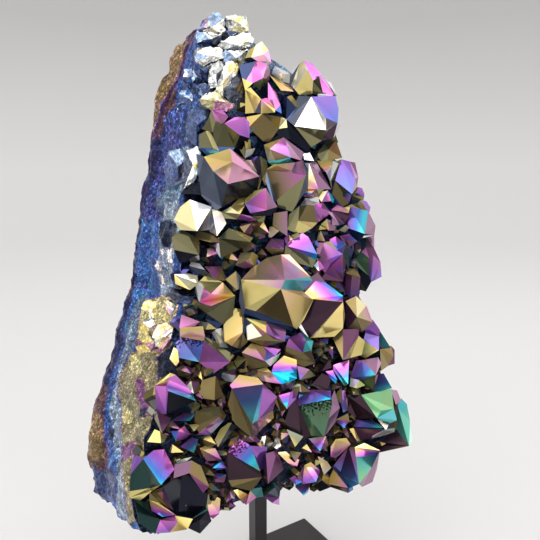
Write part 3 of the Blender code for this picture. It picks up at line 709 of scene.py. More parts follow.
    ("306,341", "MV 290,338 301,333 * 303,352 287,346", "T 301,333 306,336 313,341 311,350 303,352 *",
     "K 287,346 303,352 311,350 315,362- 303,366- 286,356-"),
    ("281,384", "YP 284,357 296,361 296,366 274,366", "PC 274,366 296,366 296,373 272,373",
     "C 272,373 296,373 296,379 290,382 *", "GM 256,371 267,368 272,373 * 262,381",
     "E 290,382 * 283,391- 296,384-"),
    ("300,380", "UB 297,366 309,370 *", "K 309,370 315,376- 303,381- *"),
    ("322,371", "Z 318,371 330,358 331,368 *"),
    ("324,390", "Z 313,384 322,374 331,378 328,389 *", "W 312,385 313,384 * 322,391"),
    ("343,360", "J 333,339 343,331 *", "R 343,331 358,330 358,337 *",
     "g 358,337 364,342 361,355 350,358 *", "X 333,339 * 338,357-"),
    ("379,350", "L 366,334 379,337 * 364,341", "V 365,327 373,321 380,331 379,337 366,334",
     "Yg 364,341 * 366,358 360,355"),
    ("391,348", "VB 380,331 * 381,349", "U 379,335- 380,331 381,349 379,350-"),
    ("381,371", "J 380,348 391,347 393,357 388,366 *", "X 380,348 * 378,360-",
     "R 391,347 394,351- 394,364- 388,366 393,357"),
    ("376,375", "MT 351,378 357,361 363,361 * 360,380", "U 363,361 378,358 381,364 *",
     "D 360,380 * 373,390- 366,386-"),
    ("359,380", "W 351,378 * 357,388 350,386", "Y * 365,385 357,388"),
    ("392,388", "VT 379,375 384,374 * 375,393 376,385", "f 376,376- 379,375 376,385 375,393 372,391-"),
    ("348,384", "PQ 334,366 349,361 * 345,386 334,371"),
    ("336,384", "PQ 326,372 333,371 337,380 * 330,378"),
    ("328,344", "MC 319,340 328,338 *"),
    ("333,359", "FC 328,346 333,348 * 329,352"),
    ("331,399", "MC 310,390 331,391 * 300,405 298,401"),
    ("305,398", "B 299,399 300,390 306,385 310,388 *"),
    ("297,398", "GV 293,388 299,387 * 291,396"),
    ("287,409", "PQ 279,396 290,393 291,398 *", "V 290,393 293,392 296,399 *",
     "K 276,396 279,396 * 281,412- 275,402-"),
    ("341,403", "g 335,398 339,389 342,391 *", "MB 342,391 345,391 347,410 343,412 *"),
    # lower right
    ("324,437", "S! 299,405 331,400 332,406 328,420 * 312,436",
     "Z 298,399- 299,405 312,436 302,440- 286,424- 291,409-",
     "U 331,400 334,392- 339,409- 335,423 * 328,420 332,406"),
    ("409,446", "TQ 398,407 402,401 407,406 410,422 412,440 * 397,430", "Z 384,442 389,435 397,430 *"),
    ("377,418", "Q 362,396 391,390 393,409 381,411 *", "T * 381,411 393,409 396,420 388,424",
     "Z 348,396- 362,396 * 358,419- 349,412-"),
    ("396,405", "U 391,390 397,391 401,401 *"),
    ("384,428", "VT 355,427 358,420 374,421 *"),
    ("384,430", "G 351,429 355,428 362,441 359,442", "R 355,428 * 372,438 362,441",
     "A * 394,428 394,432 382,436 372,438"),
    ("344,428", "J 336,420 348,414 349,421", "MC 336,420 349,421 * 338,423"),
    ("334,434", "K 330,431 335,424 341,431 *"),
    ("359,484", "YC 355,449 364,445 379,452 377.5,457 355.5,458", "TQ 355.5,458 377.5,457 376,462 *",
     "ZT 349,448 355,449 * 350,488 341,474 332,470", "U 379,452 376,470- 372,482 362,487 * 376,462"),
    ("336,458", "GV 336,440 346,439 350,445 * 331,457 331,447"),
    ("320,451", "FC 309,439 326,437 *", "U 326,437 328,446 *"),
    ("348,488", "GP 328,484 334,470 *"),
    ("348,493", "O 330,487 348,488 353,490 *"),
    ("324,475", "YI 318,457 327,462 331,468 *"),
    ("316,482", "GB 305,466 311,463 320,471 * 303,484", "R 298,478 305,466 303,484"),
    ("296,485", "PC 290,479 295,476 302,482 *"),
    ("304,496", "RT 296,488 310,484 308,492 *"),
    ("314,492", "K 310,490 317,484 321,487 *"),
    ("322,480", "K 312,470 324,472 *", "J 324,472 332,478 330,487 *", "X 330,487 320,491 313,486 *",
     "D 313,486 312,470 *"),
    ("295,447", "IG 287,430 303,437 *"),
    ("277,449", "AI 273,447 277,432 281,446 *"),
    ("293,466", "IP 278,453 286,452 293,458 299,460 297,466 * 288,463"),
    # lower left
    ("252,424 258,420", "GP 240,377 258,380 263,386 233,390 231,387", "vt 233,390 263,386 + *",
     "MV 263,386 276,398 272,411 +", "GM 272,411 273,418 259,431 +",
     "K 233,390 * 253,438 236,424 229,405", "R * + 259,431 257,434 253,438"),
    ("260,471", "PQ! 231,449 241,440 251,447 * 229,453", "Z 229,453 * 262,477 230,480 226,465",
     "V 251,447 267,448 266,462 262,470 *", "K 230,480 262,477 252,490- 233,486-"),
    ("218,447", "Y 215,440 220,430 228,424 231,424 *", "E 231,424 236,427- 222,446 *"),
    ("219,417", "O 196,412 207,408 220,407 *", "MB 200,432 * 223,421 211,434 198,434",
     "J 220,407 226,415 223,421 *", "K 196,412 * 200,432 196,425-"),
    ("218,470", "CM 213,468 216,464 222,461 229,468 *"),
    ("219,478", "MC 213,476 216,473 226,475 *", "R 213,476 * 226,475 224,482 216,482"),
    ("268,484", "R 266,455 277,452 283,470 *", "Z 266,455 * 262,480- 264,470"),
    ("271,455", "W 268,454 274,451 *"),
    ("246,505", "YF 234,491 238,490 248,495 240,499", "FM 240,499 248,495 250,491 256,498 *"),
    ("272,503", "E 264,497 275,488 280,490 279,498", "M 264,497 279,498 279,505 *",
     "t 250,490- 262,488- 264,497 256,498-"),
    ("168,391 196,401", "MV 156,386 165,385 167,387 * 167,413 158,410", "X * + 190,412 167,413",
     "PV 170,381 189,389 192,394 167,387 165,385", "BC 167,387 192,394 + *",
     "M 168,379 176,376 189,389 170,381", "G 156,386 160,382 171,374 176,376 168,379 170,381 165,385",
     "R 158,410 167,413 165,417- 156,414-", "O + 199,404- 197,415- 190,412"),
    ("224,396", "J 200,392 203,381 216,377 * 215,400 203,398"),
    ("162,433", "R 157,413 171,419 *", "K 157,413 * 155,420-"),
    ("161,443", "G 148,442 155,430 160,432 *", "g 160,432 167,437 164,442 *"),
    ("178,431", "BC 171,431 * 176,441", "PV * 184,426 190,434 184,439 176,441"),
    ("190,421", "MT 172,421 183,414 196,413 *", "O 183,414 186,409 199,404- 196,413"),
    ("194,431", "GI 189,425 201,424 *"),
    ("194,453", "VT 181,447 192,438 198,440 *"),
    ("192,457", "WY 175,464 182,459 * 184,463"),
    ("203,493", "J 192,462 201,467 209,487 190,474", "M 190,474 209,487 *",
     "U 176,466 192,462 190,474 175,479"),
    ("161,485", "PC 164,451 174,470 * 144,460 154,452", "d 144,460 * 150,488 131,491 132,475",
     "V 134,459- 139,457- 144,460 132,475", "g 131,497- 131,491 150,488 * 152,491- 141,500-"),
    ("163,487", "X * 174,478 181,474 190,477 198,488 206,494 204,508 192,516 177,518 163,500",
     "O 206,494 211,495- 207,510- 192,519- 177,518 192,516 204,508",
     "K * 163,500 177,518 150,502- 150,492-"),
    ("163,517", "YC 150,501 158,503 175,515 * 152,511"),
    ("150,512", "d 135,501 149,503 *", "d 135,501 * 160,519 155,533 140,523"),
    ("178,522", "PL 160,520 175,516 * 170,532 156,533", "YF 175,516 192,519 187,529 170,532 *"),
    ("200,520", "Z 187,527 192,519 208,511 *", "X * 208,511 211,521 200,533 187,527"),
    ("213,519", "YM 207,497 214,496 220,500 219,514 * 209,516 206,505"),
    ("207,461", "GV 200,449 207,446 215,449 221,460 *", "F 200,449 * 203,456-"),
)
SHOULDER_REACH = 23.5 * MM
FOOT_DROP = 2 * MM
TIP_RISE = 0.72                     # of the mean distance from a tip to its ring
STAND_OUT = 0.30                    # how far a crystal stands forward, of that distance
HIGHEST_CORNER = 0.6                # of the tip's rise, for corners away from the tip
GROWTH = 1.05                       # of each crystal about its tip
SHADES = (0.88, 1.12)               # how much the faces' brightness varies
ROOT_REACH = 8 * MM
ROOT_LEAN = 0.6                     # away from the eye, and the rest straight back
ROOT_SHRINK = 0.82
ROOT_EDGE = 5 * MM
EDGE_FALL = 1.0                     # of the distance past the right edge
MOST_FALL = 14 * MM
# Finishes of the walls: the first at the root, then any of them at the rim. The black at the root is
# painted shade deep between the crystals.
LOW_WALLS = "XNnBtNTOKnEtHRS"
HIGH_WALLS = "XBbnaTBnNbtOBnK"
HIGH_LIMIT = 300                    # on the sheet
# Crystals look the more to the left the further right they stand, from one place on.
TURN = math.radians(25)             # at the right edge
TURN_FROM, TURN_OVER = 230, 180     # on the sheet
TURN_LIFT = 0.5
EDGE_WEAR = 0.14 * MM
WORN_ANGLE = math.radians(14)
# The bevelled edges carry a painted highlight: their colour is brighter than their faces' by this
# factor.
EDGE_GLINT = 1.8                    # brightness of a worn edge, of its faces'


def grown_corner(corner, tips):
    """A corner moved a little away from the middle of the tips."""
    middle = np.mean(tips, axis=0)
    return tuple(middle + GROWTH * (corner - middle))


def drawn_faces(row):
    """Tips, faces (finishes and corners) and foot corners, read from one crystal's row."""
    tips = sheet_corners(row[0].split())
    faces, feet = [], set()
    for drawing in row[1:]:
        code, *words = drawing.split()
        corners = []
        for word in words:
            corner = (tips["*+".index(word)] if word in "*+"
                      else grown_corner(sheet_corners([word])[0], tips))
            if word[-1] == "-":
                feet.add(corner)
            corners.append(corner)
        across, down = np.array(corners).T
        turning = (across * np.roll(down, -1) - down * np.roll(across, -1)).sum()
        faces.append((code, corners, turning > 0))
    return tips, faces, feet


def corner_places(tips, faces, feet, start, facing, rise):
    """The place of every corner of a drawn crystal.

    Corners beside a tip lie on a plane square to `facing`, tips in front and feet behind.
    Any other corner of a face with a tip is where its sheet ray meets the face's plane.
    """
    ring = set()
    for _, corners, _ in faces:
        for n, corner in enumerate(corners):
            if corner in tips:
                ring |= {corners[n - 1], corners[(n + 1) % len(corners)]} - feet - set(tips)
    first = on_plane(*tips[0], start, facing)
    size = np.mean([np.linalg.norm(on_plane(*corner, start, facing) - first)
                    for corner in ring])
    start = start + STAND_OUT * size
    places = {corner: on_plane(*corner, start, facing) for corner in ring}
    places |= {corner: on_plane(*corner, start - FOOT_DROP, facing) for corner in feet}
    places |= {tip: on_plane(*tip, start + rise * size, facing) for tip in tips}
    for _, corners, _ in faces:
        if not set(corners) & set(tips):
            continue
        known = np.array([places[c] for c in corners if c in ring or c in tips])
        middle = known.mean(0)
        normal = np.linalg.svd(known - middle)[2][-1]
        for corner in corners:
            if corner not in places:
                ray = sheet_ray(*corner)
                point = SHEET_EYE + ray * ((middle - SHEET_EYE) @ normal / (ray @ normal))
                reach = np.clip(point @ facing, start - FOOT_DROP,
                                start + HIGHEST_CORNER * rise * size)
                places[corner] = on_plane(*corner, reach, facing)
    for _, corners, _ in faces:
        for corner in corners:
            if corner not in places:
                places[corner] = on_plane(*corner, start, facing)
    return places


def section_at(height):
    """Front-left, back-left, front-right and back-right edges, front and back."""
    return [lerp_section(height, k) for k in range(1, 7)]


def root_places(rim, root, facing):
    """The rim of a crystal carried back into the rock, a little smaller than it was.

    Whatever would come out at the rock's right edge is let down along its slope first,
    and what still comes out at an edge is drawn in to just inside it.
    """
    middle = rim.mean(0)
    way = middle - SHEET_EYE
    way = ROOT_LEAN * way / np.linalg.norm(way) - (1 - ROOT_LEAN) * facing
    centre = middle + way * ((root - middle @ facing) / (way @ facing))
    centre[2] = np.clip(centre[2], SLAB_SECTIONS[0, 0] + ROOT_EDGE,
                        SLAB_SECTIONS[-1, 0] - ROOT_EDGE)
    left, _, right, _, _, _ = section_at(centre[2])
    centre[0] = np.clip(centre[0], left + ROOT_EDGE, right - ROOT_EDGE)
    roots = centre + ROOT_SHRINK * (rim - middle)
    roots += np.outer(centre @ facing - roots @ facing, facing)
    past = roots[:, 0] + ROOT_EDGE / 2 - section_at(roots[:, 2])[2]
    roots[:, 2] -= np.clip(EDGE_FALL * past, 0, MOST_FALL)
    roots[:, 2] = np.clip(roots[:, 2], SLAB_SECTIONS[0, 0] + ROOT_EDGE / 2,
                          SLAB_SECTIONS[-1, 0] - ROOT_EDGE / 2)
    left, _, right, _, _, _ = section_at(roots[:, 2])
    roots[:, 0] = np.clip(roots[:, 0], left + ROOT_EDGE / 2, right - ROOT_EDGE / 2)
    return roots, centre


def run_of_film(points, start, end):
    """Film at the corners of a face, and each corner's place on the face's own plane.

    Its finish runs evenly from the edge between the first two corners to the far side.
    """
    level = points[1] - points[0]
    level /= np.linalg.norm(level) + 1e-12
    spread = points - points[0]
    rest = spread - np.outer(spread @ level, level)
    upward = rest[np.argmax(np.linalg.norm(rest, axis=1))]
    upward = upward / (np.linalg.norm(upward) + 1e-12)
    along = spread @ upward
    share = (along / max(along.max(), 1e-9))[:, None]
    film = np.array(start) * (1 - share) + np.array(end) * share
    return film, np.stack((points @ level, along), -1) / MM


def drawn_point(index, row, start, root, facing, walls, rise):
    """One crystal: its faces as drawn, walls from its rim back to its root, and films."""
    rng = np.random.default_rng(index)
    tips, faces, feet = drawn_faces(row)
    places = corner_places(tips, faces, feet, start, facing, rise)
    number = {corner: n for n, corner in enumerate(places)}
    points = np.array(list(places.values()))
    kept, film, flat_map = [], [], []

    def keep(face, start, end):
        colours, flat = run_of_film(points[face], start, end)
        kept.append(face)
        film.append(colours)
        flat_map.append(flat)

    edges = []
    for code, corners, clockwise in faces:
        face = [number[corner] for corner in corners]
        if clockwise:
            face = [face[1], face[0], *face[:1:-1]]
        shade = np.array((1, rng.uniform(*SHADES), 1))
        runs = code.rstrip("!")
        keep(face, np.append(FILMS_AND_PAINTED_LIGHT[runs[0]] * shade, code != runs),
             np.append(FILMS_AND_PAINTED_LIGHT[runs[-1]] * shade, 0))
        edges += zip(face, face[1:] + face[:1])
    open_edges = [(a, b) for a, b in edges if (b, a) not in edges]
    rim = sorted({a for edge in open_edges for a in edge})
    roots, centre = root_places(points[rim], root, facing)
    below = {a: len(points) + n for n, a in enumerate(rim)}
    points = np.vstack((points, roots, centre[None]))
    for a, b in open_edges:
        finish = (*FILMS_AND_PAINTED_LIGHT[walls[rng.integers(len(walls))]], 0)
        keep([below[a], below[b], b, a], (*FILMS_AND_PAINTED_LIGHT[walls[0]], 0), finish)
        keep([below[b], below[a], len(points) - 1], finish, finish)
    return points, kept, np.vstack(film), np.vstack(flat_map)


def joined(parts):
    """Join crystals into one list of points, faces, films and face coordinates."""
    start, points, faces, film, flat_map = 0, [], [], [], []
    for part in parts:
        points.append(part[0])
        faces += [[start + i for i in face] for face in part[1]]
        film.append(part[2])
        flat_map.append(part[3])
        start += len(part[0])
    return np.vstack(points), faces, np.vstack(film), np.vstack(flat_map)


def mirror_faces():
    """Film on clean crystal faces: mirror-bright, with growth lines, haze and a few pits painted dark
    as painted shade.
    """
    material, tree, shader, stored, film = coated_surface(
        "coated_crystal_face", {"Metallic": 0.65, "Specular IOR Level": 0.15}, 0.10, 75)
    across = add_node(tree, "UVMap", uv_map="face_map")
    squeeze = add_node(tree, "Mapping", {"Scale": (0.12, 1.6, 1)})
    lines = add_node(tree, "TexNoise", {"Scale": 2.2, "Detail": 3})
    place = add_node(tree, "TexCoord")
    haze = add_node(tree, "TexNoise", {"Scale": 160, "Detail": 5})
    gloss = add_node(tree, "MapRange", {"From Min": 0.35, "From Max": 0.75,
                                        "To Min": 0.07, "To Max": 0.22})
    bump = add_node(tree, "Bump", {"Strength": 0.35, "Distance": 0.06 * MM})
    rough = add_node(tree, "TexNoise", {"Scale": 0.9, "Detail": 3})
    limit = add_node(tree, "Math", {1: 0.55, 2: -0.93}, operation="MULTIPLY_ADD")
    above = add_node(tree, "Math", operation="ADD")
    # Painted shade in pits: on a pitted face, rough patches along its first edge darken the colour to a
    # tenth.
    pit_shade = add_node(tree, "MapRange", {"From Max": 0.04, "To Min": 1.0, "To Max": 0.10},
                   name="painted_pit_shade_and_edge_light")
    sunk = add_node(tree, "VectorMath", operation="SCALE")
    wire(tree, (across, "UV", squeeze, "Vector"), (squeeze, "Vector", lines, "Vector"),
         (place, "Object", haze, "Vector"), (haze, "Fac", gloss, "Value"),
         (gloss, "Result", shader, "Roughness"), (lines, "Fac", bump, "Height"),
         (bump, "Normal", shader, "Normal"), (across, "UV", rough, "Vector"),
         (stored, "Alpha", limit, 0), (limit, 0, above, 0), (rough, "Fac", above, 1),
         (above, 0, pit_shade, "Value"), (film, "Colour", sunk, 0),
         (pit_shade, "Result", sunk, "Scale"), (sunk, "Vector", shader, "Base Color"))
    return material


def set_face_map(mesh, flat_map):
    """Store each corner's place on its own flat face, in millimetres."""
    layer = mesh.uv_layers.new(name="face_map")
    layer.data.foreach_set("uv", flat_map.astype(np.float32).ravel())


coated_face = mirror_faces()
# Painted light and shade: films are made darker at the foot and brighter higher up, brightness at two
# heights.
PAINTED_SHADE_HEIGHTS = (110 * MM, 320 * MM)
PAINTED_SHADE_BRIGHTNESS = (0.92, 1.12)


def crystal_piece(name, made, material):
    """A piece of crystals with its films, painted darker towards the foot as painted shade, and the
    coordinates on its flat faces.
    """
    points, faces, film, flat_map = made
    height = points[np.concatenate(faces), 2]
    film[:, 1] *= np.interp(height, PAINTED_SHADE_HEIGHTS, PAINTED_SHADE_BRIGHTNESS)
    piece = grown_piece(name, points, faces, material)
    set_film(piece.data, film, "CORNER")
    set_face_map(piece.data, flat_map)
    return piece


def large_point(index, row):
    """A crystal that looks the more to the left, the further right it stands.

    Its shoulder plane passes between the place of its corners' middle on the bed and the
    place of the one that would lie deepest.
    """
    tips, faces, _ = drawn_faces(row)
    turn = TURN * np.clip((tips[0][0] - TURN_FROM) / TURN_OVER, 0, 1)
    facing = np.array((-math.sin(turn), -math.cos(turn), 0))
    reaches = [on_plane(*corner, SHOULDER_REACH, FRONT_WAY) @ facing
               for _, corners, _ in faces for corner in corners]
    start = np.mean(reaches) + TURN_LIFT * (np.max(reaches) - np.mean(reaches))
    walls = HIGH_WALLS if tips[0][1] < HIGH_LIMIT else LOW_WALLS
    return drawn_point(index, row, start, start - SHOULDER_REACH + ROOT_REACH, facing, walls,
                       TIP_RISE)


large_points = crystal_piece("large_points", joined(
    large_point(n, row) for n, row in enumerate(LARGE_POINTS)), coated_face)
worn = large_points.modifiers.new("worn_edges", "BEVEL")
worn.width = EDGE_WEAR
worn.segments = 1
worn.limit_method = "ANGLE"
worn.angle_limit = WORN_ANGLE
worn.material = 1
# The bevels' material: the face film brightened into a painted highlight along every edge.
edge_glint = coated_face.copy()
edge_glint.name = "coated_edge_painted_highlight"
edge_glint.node_tree.nodes["painted_pit_shade_and_edge_light"].inputs["To Min"].default_value = EDGE_GLINT
large_points.data.materials.append(edge_glint)


# ---------------------------------------------------------------------------------------
# Broken quartz: where the crust of crystals was knocked off, at the top and along the
# left edge, the vein shows as glassy blocks with flat breaks, drawn on the same sheet.
# ---------------------------------------------------------------------------------------
# The side of the slab that each block stands on, then its tip and faces as above.
BLOCKS = (
    ("front", "212,27", "aA 197,31 202,21 208,17 *", "a 208,17 217,14 223,19 *",
     "I 223,19 226,29 222,34 *", "I 222,34 212,35 203,31 *", "n 203,31 197,31 *"),
    ("front", "211,39", "W 203,31 212,35 222,34 *", "E 222,34 221,42 213,45 *",
     "N 213,45 206,48 197,43 *", "a 197,43 196,32 203,31 *"),
    ("front", "238,22", "IF 227,18 236,14 246,16 *", "I 246,16 249,24 249,31 *",
     "HI 249,31 240,33 229,31 *", "A 229,31 226,24 227,18 *"),
    ("front", "230,38", "n 226,30 240,32 *", "X 226,30 * 222,40 221,37"),
    ("front", "238,45", "I 222,41 231,37 240,33 *", "IY 240,33 250,32 254,39 *",
     "I 254,39 252,44 248,49 *", "W 248,49 236,51 226,50 *", "A 226,50 219,46 222,41 *"),
    ("front", "237,58", "W 226,50 236,51 248,49 *", "YI 248,49 250,59 242,65 *",
     "G 242,65 230,68 227,62 *", "a 227,62 223,56 226,50 *"),
    ("front", "211,55", "W 197,52 203,48 213,47 *", "I 213,47 221,48 223,58 *", "I 223,58 214,62 *",
     "W 214,62 203,67 198,62 *", "a 198,62 195,57 197,52 *"),
    ("front", "216,74", "A 211,64 221,61 225,67 *", "E 225,67 222,80 218,87 *",
     "W 218,87 210,89 208,79 *", "A 208,79 209,70 211,64 *"),
    ("front", "229,73", "IF 226,62 237,62 240,69 *", "I 240,69 235,78 229,87 *",
     "IY 229,87 223,98 214,92 *", "W 214,92 219,80 224,66 226,62 *"),
    ("front", "235,86", "E 230,80 240,72 245,79 *", "K 245,79 246,88 242,95 *",
     "E 242,95 237,101 229,102 *", "e 229,102 224,94 227,86 *", "e 227,86 230,80 *"),
    ("front", "250,64", "n 240,66 252,58 255,64 *", "e 255,64 250,74 244,78 *",
     "E 244,78 240,72 240,66 *"),
    ("front", "216,100", "IH 199,99 207,92 215,91 *", "HI 215,91 226,98 234,104 *",
     "f 234,104 229,111 212,111 *", "H 212,111 203,106 199,99 *"),
    ("front", "206,73", "n 200,68 211,65 *", "X 211,65 209,81 *", "N 209,81 202,79 200,68 *"),
    ("left", "190,76", "an 185,70 192,69 193,81 *", "n 193,81 187,84 183,77 *", "W 183,77 185,70 *"),
    ("left", "197,77", "n 193,69 200,69 202,80 *", "N 202,80 196,87 192,82 *", "a 192,82 193,69 *"),
    ("left", "188,86", "N 182,80 192,82 *", "X 192,82 192,92 *", "n 192,92 184,91 182,80 *"),
    ("left", "200,89", "n 193,86 199,83 208,84 *", "n 208,84 209,92 204,98 *",
     "a 204,98 198,93 199,86 *", "N 198,93 192,93 193,86 *"),
    ("left", "189,99", "a 180,94 187,90 194,91 *", "W 194,91 200,97 194,103 *",
     "n 194,103 190,108 184,103 *", "n 184,103 178,105 180,94 *"),
    ("left", "184,109", "n 178,103 184,103 191,108 *", "N 191,108 188,116 179,114 *",
     "N 179,114 176,108 178,103 *"),
    ("left", "196,126", "n 188,112 201,104 206,118 *", "N 206,118 205,140 197,147 *",
     "n 197,147 187,140 *", "n 187,140 186,124 188,112 *"),
    ("left", "177,167", "a 169,153 184,147 187,158 *", "e 187,158 186,176 180,192 *",
     "n 180,192 168,186 *", "n 168,186 164,168 169,153 *"),
    ("front", "193,165", "W 186,149 197,147 201,158 *", "Y 201,158 200,172 *",
     "W 200,172 194,183 184,187 *", "e 184,187 184,166 186,149 *"),
    ("front", "182,296", "X 171,287 192,290 196,297 *", "n 196,297 188,304 176,304 *",
     "E 176,304 169,295 171,287 *"),
    ("left", "152,309", "Y 144,302 156,298 163,304 *", "G 163,304 161,315 154,321 *",
     "I 154,321 145,318 142,310 *", "Y 142,310 144,302 *"),
    ("left", "171,309", "YI 164,301 174,303 *", "W 174,303 178,313 170,317 *",
     "FP 170,317 164,309 164,301 *"),
    ("left", "149,328", "W 142,322 152,319 159,322 *", "I 159,322 158,333 148,337 *",
     "G 148,337 139,331 142,322 *"),
    ("left", "163,335", "IP 158,325 166,322 173,328 *", "W 173,328 171,339 *",
     "PW 171,339 162,350 154,345 *", "IY 154,345 154,333 158,325 *"),
    ("left", "144,344", "g 136,338 148,335 154,342 *", "f 154,342 150,351 *",
     "G 150,351 141,354 135,347 *", "R 135,347 136,338 *"),
)
BLOCK_DEPTH = 12 * MM
BLOCK_LIFT = 2.0 * MM
BLOCK_WALLS = "eAeaIn"
BLOCK_RISE = 0.38
BLOCK_DIVISIONS = 4
# Name, size and depth of the hollows and chips beaten into the blocks.
BREAKS = (("hollows", 5 * MM, 2.0 * MM), ("chips", 1.6 * MM, 0.9 * MM))
BREAK_LEVEL = 0.4


def broken_block(index, row):
    """A block on the front or on the left edge, set just proud of the rock there.

    One on the edge leans from the edge towards the eye, so that it stays squat.
    """
    side, way, column, near = (("left", LEFT_WAY, 1, 55 * MM) if row[0] == "left"
                               else ("front", FRONT_WAY, 5, 18 * MM))
    corner = sheet_corners([row[1]])[0]
    height = on_plane(*corner, near, way)[2]
    tip = on_plane(*corner, -lerp_section(height, column), way)
    facing = way - FORWARD if side == "left" else FRONT_WAY
    facing = facing / np.linalg.norm(facing)
    start = tip @ facing + BLOCK_LIFT
    return drawn_point(index, row[1:], start, start - BLOCK_DEPTH, facing, BLOCK_WALLS,
                       BLOCK_RISE)


glassy_break = grainy_rock("coated_broken_quartz", 800, 0.5, (0.92, 1.95), (0.10, 0.38))
reliefs = []
for name, size, move in BREAKS:
    relief = bpy.data.textures.new(name, "VORONOI")
    relief.noise_scale = size
    relief.distance_metric = "DISTANCE_SQUARED"
    reliefs.append((relief, move))
for side in ("front", "left"):
    blocks = crystal_piece("broken_quartz_" + side, joined(
        broken_block(n, row) for n, row in enumerate(BLOCKS) if row[0] == side), glassy_break)
    blocks.data.shade_smooth()
    divided = blocks.modifiers.new("divided", "SUBSURF")
    divided.subdivision_type = "SIMPLE"
    divided.levels = divided.render_levels = BLOCK_DIVISIONS
    for relief, move in reliefs:
        chipped = blocks.modifiers.new(relief.name, "DISPLACE")
        chipped.texture = relief
        chipped.strength = move
        chipped.mid_level = BREAK_LEVEL


# ---------------------------------------------------------------------------------------
# Bed crystals: the short points that fill every gap between the large ones, and those
# that wrap round the slab's right edge. They sit lower, and their films are painted
# darker as painted shade.
# ---------------------------------------------------------------------------------------
BED_STEP = 4.2 * MM
BED_RADIUS = (2.1 * MM, 3.8 * MM)
BED_SLOPE = 1.10                    # height of a tip above its shoulder, of the radius
# Painted shade: the bed crystals between the large ones keep this share of their films' brightness,
# those on open ground or round the right edge a larger one.
BED_PAINTED_SHADE = 0.32
# Above this height the crystals in deepest painted shade get a blue film, made brighter.
BLUE_ABOVE = 190 * MM               # where the low ones show a blue film instead
BLUE_ORDER, BLUE_SPREAD, BLUE_GAIN = 0.54, 0.2, 2.0
BED_ROOT = 7 * MM
BED_SPAN = (-96 * MM, 70 * MM)
BED_INSET = (2 * MM, 22 * MM)       # from the slab's foot and from its top
BED_JITTER = 0.45                   # of the step
BED_LEAN = 0.42
OPEN_PAINTED_SHADE = 0.7
OPEN_RISE = 3.6 * MM
OPEN_MARGIN = 3.0                   # in sheet units
FAR_EDGE_COUNT = 60                 # along the right edge
FAR_EDGE_HEIGHTS = (104 * MM, 310 * MM)
FAR_EDGE_SHARE = 0.34               # how far back they reach, of the edge
FAR_EDGE_GROWTH = 1.4
BROKEN_GROUND = ("60,0 256,0 257,45 250,62 246,80 241,100 236,112 206,124 202,146 188,192 "
                 "185,215 183,255 178,270 182,285 190,300 190,318 184,335 178,355 170,378 "
                 "160,388 155,440 144,460 141,490 148,516 156,528 168,540 60,540")
# Likely finishes of a face by the way it looks, anticlockwise from the sheet's right. They are painted
# light and shade: lighter looking up and to the left, darkest looking down.
PAINTED_LIGHT_BY_FACING = (("R", "K", "v", "f", "J", "D"), ("M", "J", "R", "GP", "K"),
           ("G", "J", "GM", "g", "K", "FM"), ("g", "G", "J", "I", "A", "GP"),
           ("H", "O", "K", "g", "O", "E"), ("O", "K", "D", "t", "D", "H"),
           ("D", "O", "K", "Z", "X", "X"), ("v", "t", "R", "K", "N", "Z"))


def painted_light_films(normals, rng):
    """Likely first and last finishes for each way of facing, by its angle on the sheet, as painted
    light and shade.
    """
    angle = np.degrees(np.arctan2(normals @ UP, normals @ RIGHT))
    sector = np.round(angle / 45).astype(int) % 8
    codes = [PAINTED_LIGHT_BY_FACING[s][rng.integers(len(PAINTED_LIGHT_BY_FACING[s]))] for s in sector]
    film = np.array([(FILMS_AND_PAINTED_LIGHT[code[0]], FILMS_AND_PAINTED_LIGHT[code[-1]]) for code in codes])
    film[..., 0] += rng.normal(0, 0.015, (len(film), 1))
    film[..., 1] *= rng.uniform(0.6, 1.25, (len(film), 1))
    return film


def open_ground(points):
    """True where a point and four places round it are clear of every drawn face."""
    x, y = sheet_places(points)
    covered = np.zeros(len(x), bool)
    for row in LARGE_POINTS:
        for _, corners, _ in drawn_faces(row)[1]:
            for right, down in ((0, 0), (1, 0), (-1, 0), (0, 1), (0, -1)):
                covered |= inside_outline(x + right * OPEN_MARGIN, y + down * OPEN_MARGIN,
                                          corners)
    return ~covered


def six_sided(shoulder, axis, radius, root, rng):
    """Many short points at once: a hexagon carried from root to shoulder, then to a tip.

    Each corner of the shoulder has its own height, and the tip is a little to one side,
    so that the six faces differ.
    """
    count = len(shoulder)
    helper = rng.normal(size=(count, 3))
    across = np.cross(axis, helper)
    across /= np.linalg.norm(across, axis=1, keepdims=True)
    beside = np.cross(axis, across)
    turn = np.radians(60 * np.arange(6))
    ring = (across[:, None] * np.cos(turn)[:, None] + beside[:, None] * np.sin(turn)[:, None])
    ring = ring * radius[:, None, None]
    rise = rng.uniform(-0.35, 0.1, (count, 6, 1)) * radius[:, None, None]
    upper = shoulder[:, None] + ring + axis[:, None] * rise
    lower = shoulder[:, None] + ring - axis[:, None] * root[:, None, None]
    lean = rng.normal(0, 0.14, (count, 2, 1)) * radius[:, None, None]
    tip = (shoulder + axis * radius[:, None] * BED_SLOPE
           + across * lean[:, 0] + beside * lean[:, 1])
    points = np.concatenate((lower, upper, tip[:, None]), 1)
    side = [[k, (k + 1) % 6, 6 + (k + 1) % 6, 6 + k] for k in range(6)]
    top = [[6 + k, 6 + (k + 1) % 6, 12] for k in range(6)]
    start = 13 * np.arange(count)[:, None]
    faces = ((start[:, :, None] + np.array(side)).reshape(-1, 4).tolist()
             + (start[:, :, None] + np.array(top)).reshape(-1, 3).tolist()
             + (start + np.arange(5, -1, -1)).tolist())
    return points.reshape(-1, 3), faces


